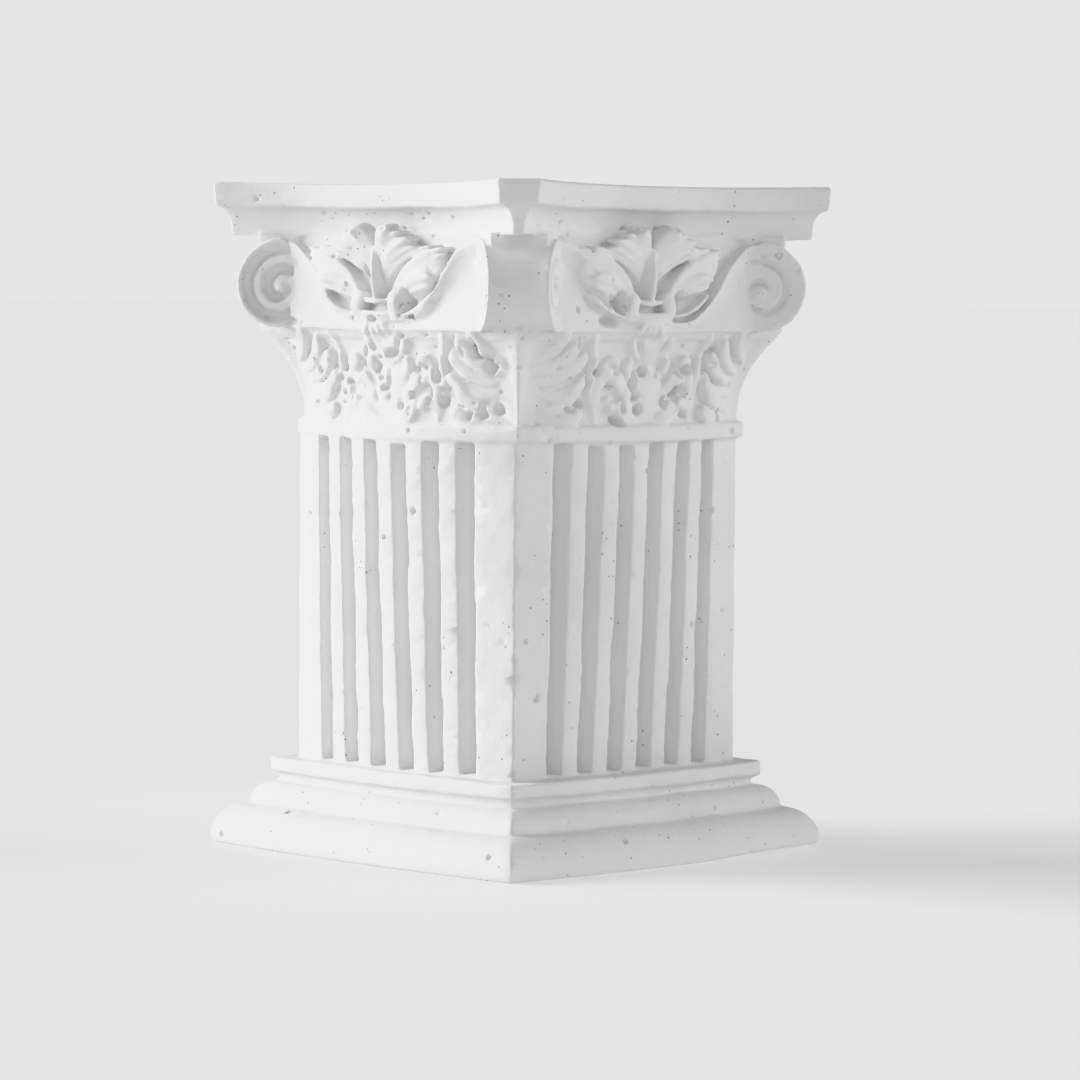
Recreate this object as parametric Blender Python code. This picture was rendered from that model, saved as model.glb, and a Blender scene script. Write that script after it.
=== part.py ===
"""Square display pedestal in the Corinthian manner, cast in one piece from white plaster.

Metres, +Z up, origin at the middle of the underside. The front face looks along -Y. A moulded foot carries a
fluted square shaft, then a neck band, a flaring bell with one leaf on each face and one around each corner,
a scroll at each corner, a large palmette in the middle of each face, and an abacus with hollowed sides and cut
corners. The soft mould made the faces swell, each face of the shaft by its own measure, and set the capital a
little off the shaft's axis.
"""

import math

import bmesh
import bpy
from mathutils import Matrix, Vector

MM = 0.001

# Heights of the levels, from the underside up
OVERALL_HEIGHT = 100.0 * MM
FOOT_ROLL_TOP = 6.2 * MM
UPPER_ROLL_TOP = 9.7 * MM
FOOT_FILLET_BOTTOM = 10.8 * MM
FOOT_TOP = 13.1 * MM
NECK_BOTTOM = 62.3 * MM
NECK_TOP = 64.8 * MM
BELL_TOP = 78.8 * MM
ABACUS_BOTTOM = 92.0 * MM
COVE_TOP = 96.6 * MM

# Half widths, from the axis to a flat face, measured at the corners
FOOT_HALF = 32.7 * MM
FOOT_EDGE = 0.9 * MM
ROLL_QUIRK = 0.2 * MM
FILLET_SLOPE = 0.3 * MM
FOOT_UNDERSIDE_HALF = 32.3 * MM
UPPER_ROLL_HALF = 28.5 * MM
SCOTIA_HALF = 25.3 * MM
FOOT_FILLET_HALF = 26.2 * MM
SHAFT_HALF_AT_FOOT = 23.15 * MM
SHAFT_HALF_AT_NECK = 23.35 * MM
NECK_HALF = 23.8 * MM
BELL_HALF_AT_NECK = 22.9 * MM
BELL_HALF_AT_LIP = 27.6 * MM
BELL_LIP_CHAMFER = 0.7 * MM
# How late the bell flares: 1 would be a straight cone
BELL_FLARE = 2.2
DRUM_HALF = 25.8 * MM
CAPITAL_SHIFT = 0.25 * MM

# How far the middle of a face stands out from the straight line between its corners: front, right, back, left
SHAFT_SWELL_AT_FOOT = (0.7 * MM, 1.4 * MM, 1.4 * MM, 2.2 * MM)
SHAFT_SWELL_AT_NECK = (3.0 * MM, 3.7 * MM, 3.7 * MM, 4.4 * MM)
FOOT_SWELL = 1.7 * MM
BELL_SWELL_AT_LIP = 0.6 * MM

# Flutes: six to a face
FLUTE_COUNT = 6
FLUTE_WIDTH = 3.0 * MM
FLUTE_GAP = 3.1 * MM
FLUTE_DEPTH = 1.7 * MM
FLUTE_FLOOR_SHARE = 0.6
FLUTE_END = 0.45 * MM

# Abacus: cut corners, hollowed sides and a cove under the plain band
ABACUS_CORNER = 46.5 * MM
ABACUS_CUT_HALF = 3.1 * MM
ABACUS_MIDDLE = 28.6 * MM
ABACUS_HOLLOW_POWER = 2.8
ABACUS_COVE = 2.3 * MM
ABACUS_FILLET = 0.7 * MM
CUT_NARROWING = 0.85
ABACUS_BATTER = 0.4 * MM

# Corner scrolls
SCROLL_AXIS_OUT = 36.0 * MM
SCROLL_AXIS_UP = 84.2 * MM
SCROLL_RADIUS = 7.6 * MM
SCROLL_TURN = 3.1 * MM
SCROLL_TURNS = 1.75
SCROLL_RIM_HALF = 4.4 * MM
SCROLL_RIM_HOLLOW = 0.15 * MM
SCROLL_SPLAY = 0.22
SCROLL_GROOVE = 1.1 * MM
SCROLL_GROOVE_WIDTH = 0.6 * MM
SCROLL_BAND_SLOPE = 0.3 * MM
SCROLL_EYE_RADIUS = 1.0 * MM
SCROLL_EYE_SUNK = 0.2 * MM
# How sharply the outline swings back out to full radius where the outer turn starts
SCROLL_START_POWER = 7

# Seats between the scrolls and the abacus: how far out they reach, and how far their sides stand back
SEAT_REACH = 40.4 * MM
SEAT_INSET = 0.9 * MM

# Ribbons that sweep from under the palmette to the scrolls: where the upper edge runs, from inner to outer end
RIBBON_INNER = 1.0 * MM
RIBBON_OUTER = 18.6 * MM
RIBBON_OUT = 28.8 * MM
RIBBON_TOP_INNER = 79.4 * MM
RIBBON_TOP_OUTER = 89.2 * MM
RIBBON_SWEEP = 2.0
RIBBON_HOLLOW = 0.6 * MM
# Where the hollow is deepest, as a share of the ribbon's height
RIBBON_HOLLOW_AT = 0.55
RIBBON_SET_BACK = 0.5 * MM
# The ribbon's heel fills the corner between the scroll and the bell's lip
RIBBON_HEEL_RUN = 2.2 * MM
RIBBON_HEEL_RISE = 1.6 * MM

# Palmette: for each pair of lobes, root height on the spine, then how far out and how high the tip is
PALMETTE_OUT = 28.4 * MM
# The mould set each palmette a little to the left of its face's middle
PALMETTE_OFFSET = -1.4 * MM
PALMETTE_LOBES = ((80.9, 12.2, 85.6), (81.7, 13.6, 90.8), (82.6, 8.6, 92.3), (84.2, 3.2, 94.0))
PALMETTE_NOTCH = 91.4
PALMETTE_HALF = 1.5
PALMETTE_RELIEF = 1.1 * MM
PALMETTE_CURL = 1.5 * MM
PALMETTE_TIP_DROP = 0.4 * MM
# Foot and head of the collar under the palmette
COLLAR = (77.4, 82.6)
COLLAR_HALF = 2.4 * MM
COLLAR_RELIEF = 2.2 * MM
COLLAR_CURL = 0.6 * MM
COLLAR_SET_BACK = 1.2 * MM
COLLAR_STEPS = 3

# Leaves on the bell, listed in the same way. Corner leaves count from the bell's corner
MIDDLE_LOBES = ((65.3, 5.6, 68.4), (67.8, 5.8, 72.2), (71.0, 4.6, 75.9))
MIDDLE_TIP = 77.4
CORNER_LOBES = ((65.4, 10.4, 67.2), (67.0, 11.2, 71.6), (69.6, 11.4, 75.0), (72.6, 8.8, 77.6))
CORNER_TIP = 78.9
CROWN_LENGTH = 3.2
LEAF_HALF = 1.25
LEAF_RELIEF = 1.3 * MM
LEAF_CURL = 0.5 * MM
CORNER_RELIEF = 1.04 * MM
CORNER_CURL = 1.3 * MM

# Stems between them: root and tip of each stroke, across the face from its middle and up
STEM_STROKES = ((9.7, 65.2, 8.9, 73.4), (9.3, 71.6, 6.5, 72.0), (9.4, 66.8, 6.4, 69.6))
STEM_HALF = 1.1 * MM
STEM_RELIEF = 1.1 * MM
STEM_CURL = 0.3 * MM
STEM_BOW = 0.12
STEM_PARTS = 2

SIDE_STEPS = 6
ARC_STEPS = 4
ABACUS_STEPS = 10
SCROLL_STEPS = 12
EYE_STEPS = 6
RIBBON_STEPS = 5
BELL_STEPS = 3
WELD_DISTANCE = 0.02 * MM
SUNK = 1.2 * MM
EDGE_SUNK = 0.45 * MM
LINE_STEPS = 2
LEAF_STROKES = (-0.8, 0.8)
# Share of a half wave that a lobe's width follows from its root to its tip
LOBE_WAVE = (0.12, 0.82)
# How far the notch between two lobes lies from the spine, as a share of the lobes' reach
NOTCH_SHARE = 0.72
PALMETTE_STROKES = (-1.0, 0.0, 1.0)
LINE_SAG = 0.8
OVERLAP = 0.6 * MM

PLASTER_COLOUR = (0.86, 0.86, 0.85, 1.0)
PLASTER_ROUGHNESS = 0.85


def clear_scene():
    for old in list(bpy.data.objects):
        bpy.data.objects.remove(old)


def plaster():
    material = bpy.data.materials.new("white_plaster")
    material.use_nodes = True
    shader = material.node_tree.nodes["Principled BSDF"]
    shader.inputs["Base Color"].default_value = PLASTER_COLOUR
    shader.inputs["Roughness"].default_value = PLASTER_ROUGHNESS
    shader.inputs["Metallic"].default_value = 0.0
    return material


def mix(low, high, share):
    return low + (high - low) * share


def on_face(side, along, out, up):
    """The point that lies along a face, out from the axis and up from the ground. Side 0 is the front."""
    turn = Matrix.Rotation(side * math.pi / 2, 3, "Z")
    return turn @ Vector((along, -out, up))


def on_corner(corner, out, across, up):
    """The point that lies out along a diagonal. Corner 0 is between the front and the right."""
    turn = Matrix.Rotation(corner * math.pi / 2 - math.pi / 4, 3, "Z")
    return turn @ Vector((out, across, up))


def swollen_square(half, swells, height):
    """A square ring whose sides bow out by the given swells."""
    ring = []
    for side in range(4):
        for step in range(SIDE_STEPS):
            share = 2 * step / SIDE_STEPS - 1
            ring.append(on_face(side, share * half, half + swells[side] * (1 - share * share), height))
    return ring


def fluted_square(half, swells, height, carved):
    """The shaft's section: a swollen square with flutes cut in each side by the carved share of their depth."""
    pitch = FLUTE_WIDTH + FLUTE_GAP
    first = -(FLUTE_COUNT - 1) / 2 * pitch
    floor_half = FLUTE_WIDTH * FLUTE_FLOOR_SHARE / 2
    section = ((-FLUTE_WIDTH / 2, 0.0), (-floor_half, 1.0), (floor_half, 1.0), (FLUTE_WIDTH / 2, 0.0))
    ring = []
    for side in range(4):
        ring.append(on_face(side, -half, half, height))
        for flute in range(FLUTE_COUNT):
            for offset, depth in section:
                along = first + flute * pitch + offset
                bow = swells[side] * (1 - (along / half) ** 2)
                ring.append(on_face(side, along, half + bow - depth * carved * FLUTE_DEPTH, height))
    return ring


def abacus_ring(inset, height):
    """The abacus's section: hollowed sides between cut corners, moved in by the inset."""
    corner = ABACUS_CORNER - inset
    cut = ABACUS_CUT_HALF - CUT_NARROWING * inset
    end_along = (corner - cut) / math.sqrt(2)
    end_out = (corner + cut) / math.sqrt(2)
    middle = ABACUS_MIDDLE - inset
    ring = []
    for side in range(4):
        for step in range(ABACUS_STEPS + 1):
            share = 2 * step / ABACUS_STEPS - 1
            hollow = abs(share) ** ABACUS_HOLLOW_POWER
            ring.append(on_face(side, share * end_along, mix(middle, end_out, hollow), height))
    return ring


def loft(name, rings):
    """A closed solid through rings of equal length, capped flat at both ends."""
    mesh = bmesh.new()
    rows = [[mesh.verts.new(point) for point in ring] for ring in rings]
    for low, high in zip(rows, rows[1:]):
        for index, corner in enumerate(low):
            after = (index + 1) % len(low)
            mesh.faces.new((corner, low[after], high[after], high[index]))
    mesh.faces.new(reversed(rows[0]))
    mesh.faces.new(rows[-1])
    return finished(name, mesh)


def finished(name, mesh):
    bmesh.ops.recalc_face_normals(mesh, faces=mesh.faces)
    data = bpy.data.meshes.new(name)
    mesh.to_mesh(data)
    mesh.free()
    made = bpy.data.objects.new(name, data)
    bpy.context.scene.collection.objects.link(made)
    return made


def quarter_round(low, high, half_low, half_high, hollow=False):
    """Points (height, half width) along a quarter ellipse, steep at its low end, or hollow and steep on top."""
    points = []
    for step in range(ARC_STEPS + 1):
        angle = math.pi / 2 * step / ARC_STEPS
        if hollow:
            rise, run = 1 - math.cos(angle), math.sin(angle)
        else:
            rise, run = math.sin(angle), 1 - math.cos(angle)
        points.append((mix(low, high, rise), mix(half_low, half_high, run)))
    return points


def foot():
    profile = [(0.0, FOOT_UNDERSIDE_HALF)]
    profile += quarter_round(FOOT_EDGE, FOOT_ROLL_TOP, FOOT_HALF, UPPER_ROLL_HALF)
    profile += quarter_round(FOOT_ROLL_TOP + ROLL_QUIRK, UPPER_ROLL_TOP, UPPER_ROLL_HALF, SCOTIA_HALF)
    profile += [(FOOT_FILLET_BOTTOM, SCOTIA_HALF), (FOOT_FILLET_BOTTOM + FILLET_SLOPE, FOOT_FILLET_HALF)]
    profile.append((FOOT_TOP, FOOT_FILLET_HALF))
    swells = [FOOT_SWELL] * 4
    return loft("foot", [swollen_square(half, swells, height) for height, half in profile])


def shaft():
    top = NECK_BOTTOM + OVERLAP
    levels = ((FOOT_TOP - OVERLAP, 0.0), (FOOT_TOP + FLUTE_END / 2, 0.0), (FOOT_TOP + FLUTE_END * 1.5, 1.0),
              (top, 1.0))
    rings = []
    for height, carved in levels:
        share = (height - FOOT_TOP) / (NECK_BOTTOM - FOOT_TOP)
        half = mix(SHAFT_HALF_AT_FOOT, SHAFT_HALF_AT_NECK, share)
        swells = [mix(low, high, share) for low, high in zip(SHAFT_SWELL_AT_FOOT, SHAFT_SWELL_AT_NECK)]
        rings.append(fluted_square(half, swells, height, carved))
    return loft("shaft", rings)


def neck():
    levels = (NECK_BOTTOM, NECK_TOP)
    return loft("neck", [swollen_square(NECK_HALF, SHAFT_SWELL_AT_NECK, height) for height in levels])


def bell_half(height):
    """Half width of the bell: a cavetto that flares to the lip."""
    share = min(max((height - NECK_TOP) / (BELL_TOP - NECK_TOP), 0.0), 1.0)
    return mix(BELL_HALF_AT_NECK, BELL_HALF_AT_LIP, share ** BELL_FLARE)


def bell_swell(side, height):
    share = min(max((height - NECK_TOP) / (BELL_TOP - NECK_TOP), 0.0), 1.0)
    return mix(SHAFT_SWELL_AT_NECK[side], BELL_SWELL_AT_LIP, share)


def bell_out(side, along, height):
    """How far out the bell's plain surface lies at a place on one face."""
    half = bell_half(height)
    return half + bell_swell(side, height) * (1 - min(along / half, 1.0) ** 2)


def bell():
    rings = [swollen_square(bell_half(NECK_TOP), [bell_swell(side, NECK_TOP) for side in range(4)],
                            NECK_TOP - OVERLAP)]
    for step in range(BELL_STEPS + 1):
        height = mix(NECK_TOP, BELL_TOP - BELL_LIP_CHAMFER, step / BELL_STEPS)
        rings.append(swollen_square(bell_half(height), [bell_swell(side, height) for side in range(4)], height))
    rings.append(swollen_square(BELL_HALF_AT_LIP - BELL_LIP_CHAMFER, [BELL_SWELL_AT_LIP] * 4, BELL_TOP))
    return loft("bell", rings)


def drum():
    """The plain block behind the scrolls and palmettes."""
    levels = (BELL_TOP - OVERLAP, ABACUS_BOTTOM + OVERLAP)
    reach = DRUM_HALF * math.sqrt(2)
    return loft("drum", [[on_corner(corner, reach, 0.0, up) for corner in range(4)] for up in levels])


def abacus():
    profile = [(ABACUS_BOTTOM, ABACUS_COVE + ABACUS_BATTER)]
    profile += quarter_round(ABACUS_BOTTOM + ABACUS_FILLET, COVE_TOP, ABACUS_COVE + ABACUS_BATTER, ABACUS_BATTER)
    profile.append((OVERALL_HEIGHT, 0.0))
    return loft("abacus", [abacus_ring(inset, height) for height, inset in profile])


def scroll_radius(angle):
    """Outer radius of the scroll's band, which shrinks by one band for each turn after the top."""
    return SCROLL_RADIUS - SCROLL_TURN * max(angle, 0.0) / (2 * math.pi)


def scroll_half(out):
    """Half thickness of the scroll, thicker towards the axis because its two faces splay."""
    return SCROLL_RIM_HALF + SCROLL_SPLAY * (SCROLL_AXIS_OUT + SCROLL_RADIUS - out)


def scroll_block(corner):
    """The wedge that both faces of a scroll are cut on."""
    rings = []
    for sign in (-1, 1):
        ring = []
        for step in range(SCROLL_STEPS):
            angle = 2 * math.pi * step / SCROLL_STEPS
            radius = mix(scroll_radius(angle), SCROLL_RADIUS, (step / SCROLL_STEPS) ** SCROLL_START_POWER)
            radius -= SCROLL_RIM_HOLLOW
            out = SCROLL_AXIS_OUT + radius * math.sin(angle)
            up = SCROLL_AXIS_UP + radius * math.cos(angle)
            ring.append(on_corner(corner, out, sign * (scroll_half(out) - SCROLL_GROOVE), up))
        rings.append(ring)
    return loft("scroll_block", rings)


def scroll_band(corner, sign):
    """The raised band that leaves the ribbon just before the top and winds in towards the eye, on one face."""
    rings = []
    keel = -SCROLL_GROOVE - EDGE_SUNK
    for step in range(-1, int(SCROLL_TURNS * SCROLL_STEPS) + 1):
        angle = 2 * math.pi * step / SCROLL_STEPS
        outer = scroll_radius(angle)
        inner = max(scroll_radius(angle + 2 * math.pi) + SCROLL_GROOVE_WIDTH, SCROLL_BAND_SLOPE)
        ring = []
        brow = outer - SCROLL_BAND_SLOPE / 3
        for radius, lift in ((inner - SCROLL_BAND_SLOPE, keel), (outer, keel), (brow, 0.0), (inner, 0.0)):
            out = SCROLL_AXIS_OUT + radius * math.sin(angle)
            up = SCROLL_AXIS_UP + radius * math.cos(angle)
            ring.append(on_corner(corner, out, sign * (scroll_half(out) + lift), up))
        rings.append(ring)
    return loft("scroll_band", rings)


def scroll_eye(corner, sign):
    rings = []
    for lift in (-SUNK - SCROLL_GROOVE, -SCROLL_EYE_SUNK):
        ring = []
        for step in range(EYE_STEPS):
            angle = 2 * math.pi * step / EYE_STEPS
            out = SCROLL_AXIS_OUT + SCROLL_EYE_RADIUS * math.sin(angle)
            across = sign * (scroll_half(out) + lift)
            ring.append(on_corner(corner, out, across, SCROLL_AXIS_UP + SCROLL_EYE_RADIUS * math.cos(angle)))
        rings.append(ring)
    return loft("scroll_eye", rings)


def scroll_seat(corner):
    """The pad that joins the top of a scroll to the abacus."""
    inner = DRUM_HALF * math.sqrt(2) - SUNK
    lean = math.asin((SEAT_REACH - SCROLL_AXIS_OUT) / SCROLL_RADIUS)
    bottom = SCROLL_AXIS_UP + SCROLL_RADIUS * math.cos(lean) - OVERLAP
    rings = []
    for up in (bottom, ABACUS_BOTTOM + OVERLAP):
        ring = []
        for out, sign in ((inner, 1), (inner, -1), (SEAT_REACH, -1), (SEAT_REACH, 1)):
            ring.append(on_corner(corner, out, sign * (scroll_half(out) - SEAT_INSET), up))
        rings.append(ring)
    return loft("scroll_seat", rings)


def scroll_face_out(along):
    """How far out from the axis, square to a face, the face of a scroll lies at a place along that face."""
    reach = SCROLL_AXIS_OUT + SCROLL_RADIUS
    half = (SCROLL_RIM_HALF + SCROLL_SPLAY * (reach - math.sqrt(2) * along)) / (1 + SCROLL_SPLAY)
    return along + math.sqrt(2) * half


def ribbon(side, sign):
    """A hollowed ribbon whose upper edge rises ever more steeply into the scroll's outer turn."""
    rings = []
    for step in range(RIBBON_STEPS + 1):
        share = step / RIBBON_STEPS
        along = mix(RIBBON_INNER, RIBBON_OUTER, share)
        top = mix(RIBBON_TOP_INNER, RIBBON_TOP_OUTER, share ** RIBBON_SWEEP)
        out = max(RIBBON_OUT, scroll_face_out(along) - RIBBON_SET_BACK)
        rings.append(ribbon_section(side, sign * along, out, top, RIBBON_HOLLOW * share))
    heel = RIBBON_OUTER + RIBBON_HEEL_RUN
    heel_out = scroll_face_out(heel) - SCROLL_GROOVE
    rings.append(ribbon_section(side, sign * heel, heel_out, BELL_TOP + RIBBON_HEEL_RISE, 0.0))
    return loft("ribbon", rings)


def ribbon_section(side, along, out, top, hollow):
    back = DRUM_HALF - SUNK
    low = BELL_TOP - OVERLAP
    section = ((back, low), (out, low), (out - hollow, mix(low, top, RIBBON_HOLLOW_AT)), (out, top), (back, top))
    return [on_face(side, along, depth, up) for depth, up in section]


def blade(side, places, base, sunk=SUNK):
    """A carved lobe: a crested ridge that narrows to a point at both ends.

    places holds (along, up, half width, height above the base surface) from root to tip, and base gives how far
    out that surface lies. The lobe's keel is sunk below it.
    """
    mesh = bmesh.new()
    rows = []
    last = len(places) - 1
    for index, (along, up, half, height) in enumerate(places):
        ahead = places[min(index + 1, last)]
        behind = places[max(index - 1, 0)]
        course = Vector((ahead[0] - behind[0], ahead[1] - behind[1])).normalized()
        row = []
        if index in (0, last):
            row.append(mesh.verts.new(on_face(side, along, base(along, up) + height - SUNK / 2, up)))
        else:
            for offset, lift in ((-half, -EDGE_SUNK), (0.0, height), (half, -EDGE_SUNK), (0.0, -sunk)):
                place_along = along - course.y * offset
                place_up = up + course.x * offset
                depth = base(place_along, place_up) + lift
                row.append(mesh.verts.new(on_face(side, place_along, depth, place_up)))
        rows.append(row)
    for low, high in zip(rows, rows[1:]):
        for index in range(4):
            after = (index + 1) % 4
            if len(low) == 1:
                mesh.faces.new((low[0], high[after], high[index]))
            elif len(high) == 1:
                mesh.faces.new((low[index], low[after], high[0]))
            else:
                mesh.faces.new((low[index], low[after], high[after], high[index]))
    return finished("blade", mesh)


def lobe_path(root, tip, bow, half, relief, curl, steps):
    """Places along a lobe from its root to its tip; bow says how far it bends to the left."""
    course = Vector(tip) - Vector(root)
    middle = (Vector(root) + Vector(tip)) / 2 + Vector((-course.y, course.x)) * bow
    places = []
    for step in range(steps + 1):
        share = step / steps
        place = Vector(root) * (1 - share) ** 2 + middle * (2 * share * (1 - share)) + Vector(tip) * share ** 2
        width = half * math.sin(math.pi * mix(*LOBE_WAVE, share))
        height = relief * math.sin(math.pi * (0.25 + 0.5 * share)) + curl * share * share
        places.append((place.x, place.y, width, height))
    return places


def leaf_lines(lobes, half, crown, relief, curl, strokes):
    """The lines from a leaf's spine to its edge on one side, from its foot up: valleys and lobe strokes.

    crown is the top end of the spine and where its line ends. strokes places the lines of a lobe across it, from
    -1 to 1. Each line is a root, a tip and the lifts of its root, middle and tip.
    """
    foot_up = lobes[0][0] - 0.5
    lines = [((0.0, foot_up), (lobes[0][1] * 0.55, foot_up), (0.5 * relief, 0.3 * relief, -EDGE_SUNK))]
    for index, (root, reach, top) in enumerate(lobes):
        course = Vector((reach, top - root)).normalized() * half
        for turn in strokes:
            share = 1 - 0.14 * turn * turn
            tip = (reach * share - turn * course.y, mix(root, top, share) + turn * course.x)
            lift = relief * (1 - 0.4 * turn * turn)
            tip_lift = 0.2 * relief + curl * (1 - 0.4 * turn * turn)
            lines.append(((0.0, root + 0.2 * turn), tip, (relief, lift, tip_lift)))
        following = lobes[index + 1] if index + 1 < len(lobes) else (crown[0], 0.0, crown[1])
        between, reach_between, top_between = (mix(low, high, 0.5) for low, high in zip(lobes[index], following))
        notch = (reach_between * NOTCH_SHARE, mix(between, top_between, NOTCH_SHARE))
        lines.append(((0.0, between), notch, (0.8 * relief, 0.15 * relief, -EDGE_SUNK)))
    return lines


def leaf(place, lobes, half, crown, relief, curl, crown_lift, strokes, depth=SUNK):
    """A leaf in one closed piece. place turns a point across, up and lifted into a place in space."""
    right = leaf_lines(lobes, half, crown, relief, curl, strokes)
    middle = ((0.0, crown[0]), (0.0, crown[1]), (relief, relief * 0.7, crown_lift))
    lines = [(-1, line) for line in right] + [(1, middle)] + [(1, line) for line in reversed(right)]
    mesh = bmesh.new()
    fronts, backs = [], []
    for sign, (root, tip, lifts) in lines:
        front, back = [], []
        for step in range(LINE_STEPS + 1):
            share = step / LINE_STEPS
            across = sign * MM * mix(root[0], tip[0], share)
            up = MM * (mix(root[1], tip[1], share) - 0.5 * LINE_SAG * math.sin(math.pi * share))
            lift = mix(lifts[0], lifts[1], 2 * share) if share < 0.5 else mix(lifts[1], lifts[2], 2 * share - 1)
            front.append(mesh.verts.new(place(across, up, lift)))
            back.append(mesh.verts.new(place(across, up, -depth)))
        fronts.append(front)
        backs.append(back)
    for index in range(len(lines) - 1):
        for step in range(LINE_STEPS):
            for rows, turned in ((fronts, False), (backs, True)):
                low, high = rows[index], rows[index + 1]
                face = (low[step], low[step + 1], high[step + 1], high[step])
                mesh.faces.new(reversed(face) if turned else face)
        mesh.faces.new((fronts[index][-1], backs[index][-1], backs[index + 1][-1], fronts[index + 1][-1]))
    for index in (0, -1):
        for step in range(LINE_STEPS):
            side = (fronts[index][step], backs[index][step], backs[index][step + 1], fronts[index][step + 1])
            mesh.faces.new(side if index == 0 else reversed(side))
    bmesh.ops.remove_doubles(mesh, verts=mesh.verts, dist=0.001 * MM)
    return finished("leaf", mesh)


def middle_leaf(side):
    def place(across, up, lift):
        return on_face(side, across, bell_out(side, across, up) + lift, up)

    crown = (MIDDLE_TIP - CROWN_LENGTH, MIDDLE_TIP)
    return leaf(place, MIDDLE_LOBES, LEAF_HALF, crown, LEAF_RELIEF, LEAF_CURL, LEAF_CURL * 2, LEAF_STROKES)


def corner_leaf(corner):
    """A leaf folded around a corner of the bell, half of it on each face."""
    def place(across, up, lift):
        side = corner if across < 0 else (corner + 1) % 4
        edge = bell_half(up)
        along = edge - abs(across) if across < 0 else abs(across) - edge
        out = bell_out(side, along, up)
        if abs(across) < 0.01 * MM:
            return on_corner(corner, (edge + lift) * math.sqrt(2), 0.0, up)
        return on_face(side, along, out + lift, up)

    crown = (CORNER_TIP - CROWN_LENGTH, CORNER_TIP)
    return leaf(place, CORNER_LOBES, LEAF_HALF, crown, CORNER_RELIEF, LEAF_CURL, CORNER_CURL, LEAF_STROKES)


def palmette(side):
    """The spreading leaf in the middle of a face, four pairs of flame-shaped lobes over a collar."""
    def place(across, up, lift):
        return on_face(side, across + PALMETTE_OFFSET, PALMETTE_OUT + lift, up)

    def base(along, up):
        return PALMETTE_OUT - COLLAR_SET_BACK

    crown = (PALMETTE_NOTCH - 5.0, PALMETTE_NOTCH)
    depth = PALMETTE_OUT - DRUM_HALF + SUNK
    spread = leaf(place, PALMETTE_LOBES, PALMETTE_HALF, crown, PALMETTE_RELIEF, PALMETTE_CURL, -PALMETTE_TIP_DROP,
                  PALMETTE_STROKES, depth)
    foot_up, head_up = (value * MM for value in COLLAR)
    collar = lobe_path((PALMETTE_OFFSET, foot_up), (PALMETTE_OFFSET, head_up), 0.0, COLLAR_HALF, COLLAR_RELIEF,
                       COLLAR_CURL, COLLAR_STEPS)
    return [spread, blade(side, collar, base, SUNK * 2)]


def stems(side):
    def base(along, up):
        return bell_out(side, along, up)

    made = []
    for sign in (-1, 1):
        for stroke in STEM_STROKES:
            from_along, from_up, to_along, to_up = (value * MM for value in stroke)
            path = lobe_path((sign * from_along, from_up), (sign * to_along, to_up), -STEM_BOW * sign, STEM_HALF,
                             STEM_RELIEF, STEM_CURL, STEM_PARTS)
            made.append(blade(side, path, base))
    return made


def cast_together(name, pieces):
    """Joins the overlapping shapes into one solid, as the mould did."""
    whole = pieces[0]
    whole.name = name
    group = bpy.data.collections.new("carving")
    bpy.context.scene.collection.children.link(group)
    for piece in pieces[1:]:
        bpy.context.scene.collection.objects.unlink(piece)
        group.objects.link(piece)
    union = whole.modifiers.new("cast", "BOOLEAN")
    union.operation = "UNION"
    union.operand_type = "COLLECTION"
    union.collection = group
    union.solver = "EXACT"
    bpy.context.view_layer.objects.active = whole
    bpy.ops.object.modifier_apply(modifier=union.name)
    for piece in pieces[1:]:
        bpy.data.objects.remove(piece)
    bpy.data.collections.remove(group)
    return whole


def weld(whole):
    """Closes up the tiny edges that the joining leaves where facets almost meet."""
    mesh = bmesh.new()
    mesh.from_mesh(whole.data)
    bmesh.ops.remove_doubles(mesh, verts=mesh.verts, dist=WELD_DISTANCE)
    mesh.to_mesh(whole.data)
    mesh.free()


def shift_capital(whole):
    """Moves the capital to where the mould set it, then puts the middle of the whole at the origin."""
    for vertex in whole.data.vertices:
        if vertex.co.z > NECK_BOTTOM - 0.1 * MM:
            vertex.co += Vector((CAPITAL_SHIFT, -CAPITAL_SHIFT, 0.0))
    for axis in (0, 1):
        low = min(vertex.co[axis] for vertex in whole.data.vertices)
        high = max(vertex.co[axis] for vertex in whole.data.vertices)
        for vertex in whole.data.vertices:
            vertex.co[axis] -= (low + high) / 2


def build():
    clear_scene()
    pieces = [foot(), shaft(), neck(), bell(), drum(), abacus()]
    for corner in range(4):
        pieces.append(scroll_block(corner))
        pieces.append(scroll_seat(corner))
        pieces.append(corner_leaf(corner))
        for sign in (-1, 1):
            pieces.append(scroll_band(corner, sign))
            pieces.append(scroll_eye(corner, sign))
    for side in range(4):
        pieces += palmette(side)
        pieces += [ribbon(side, sign) for sign in (-1, 1)]
        pieces += stems(side)
        pieces.append(middle_leaf(side))
    pedestal = cast_together("pedestal", pieces)
    weld(pedestal)
    shift_capital(pedestal)
    pedestal.data.materials.clear()
    pedestal.data.materials.append(plaster())


build()
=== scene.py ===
"""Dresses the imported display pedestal: a small plaster cast of a fluted square pier with a leafy capital.

The cast is modelled as many overlapping closed shapes, which are fused into one skin, softened as a rubber
mould softens plaster, hollowed between the leaves, pitted with air bubbles and thinned. Lengths inside the
shape functions are in millimetres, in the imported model's own frame: +Z up, and the front face looks along -Y.
"""

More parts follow.
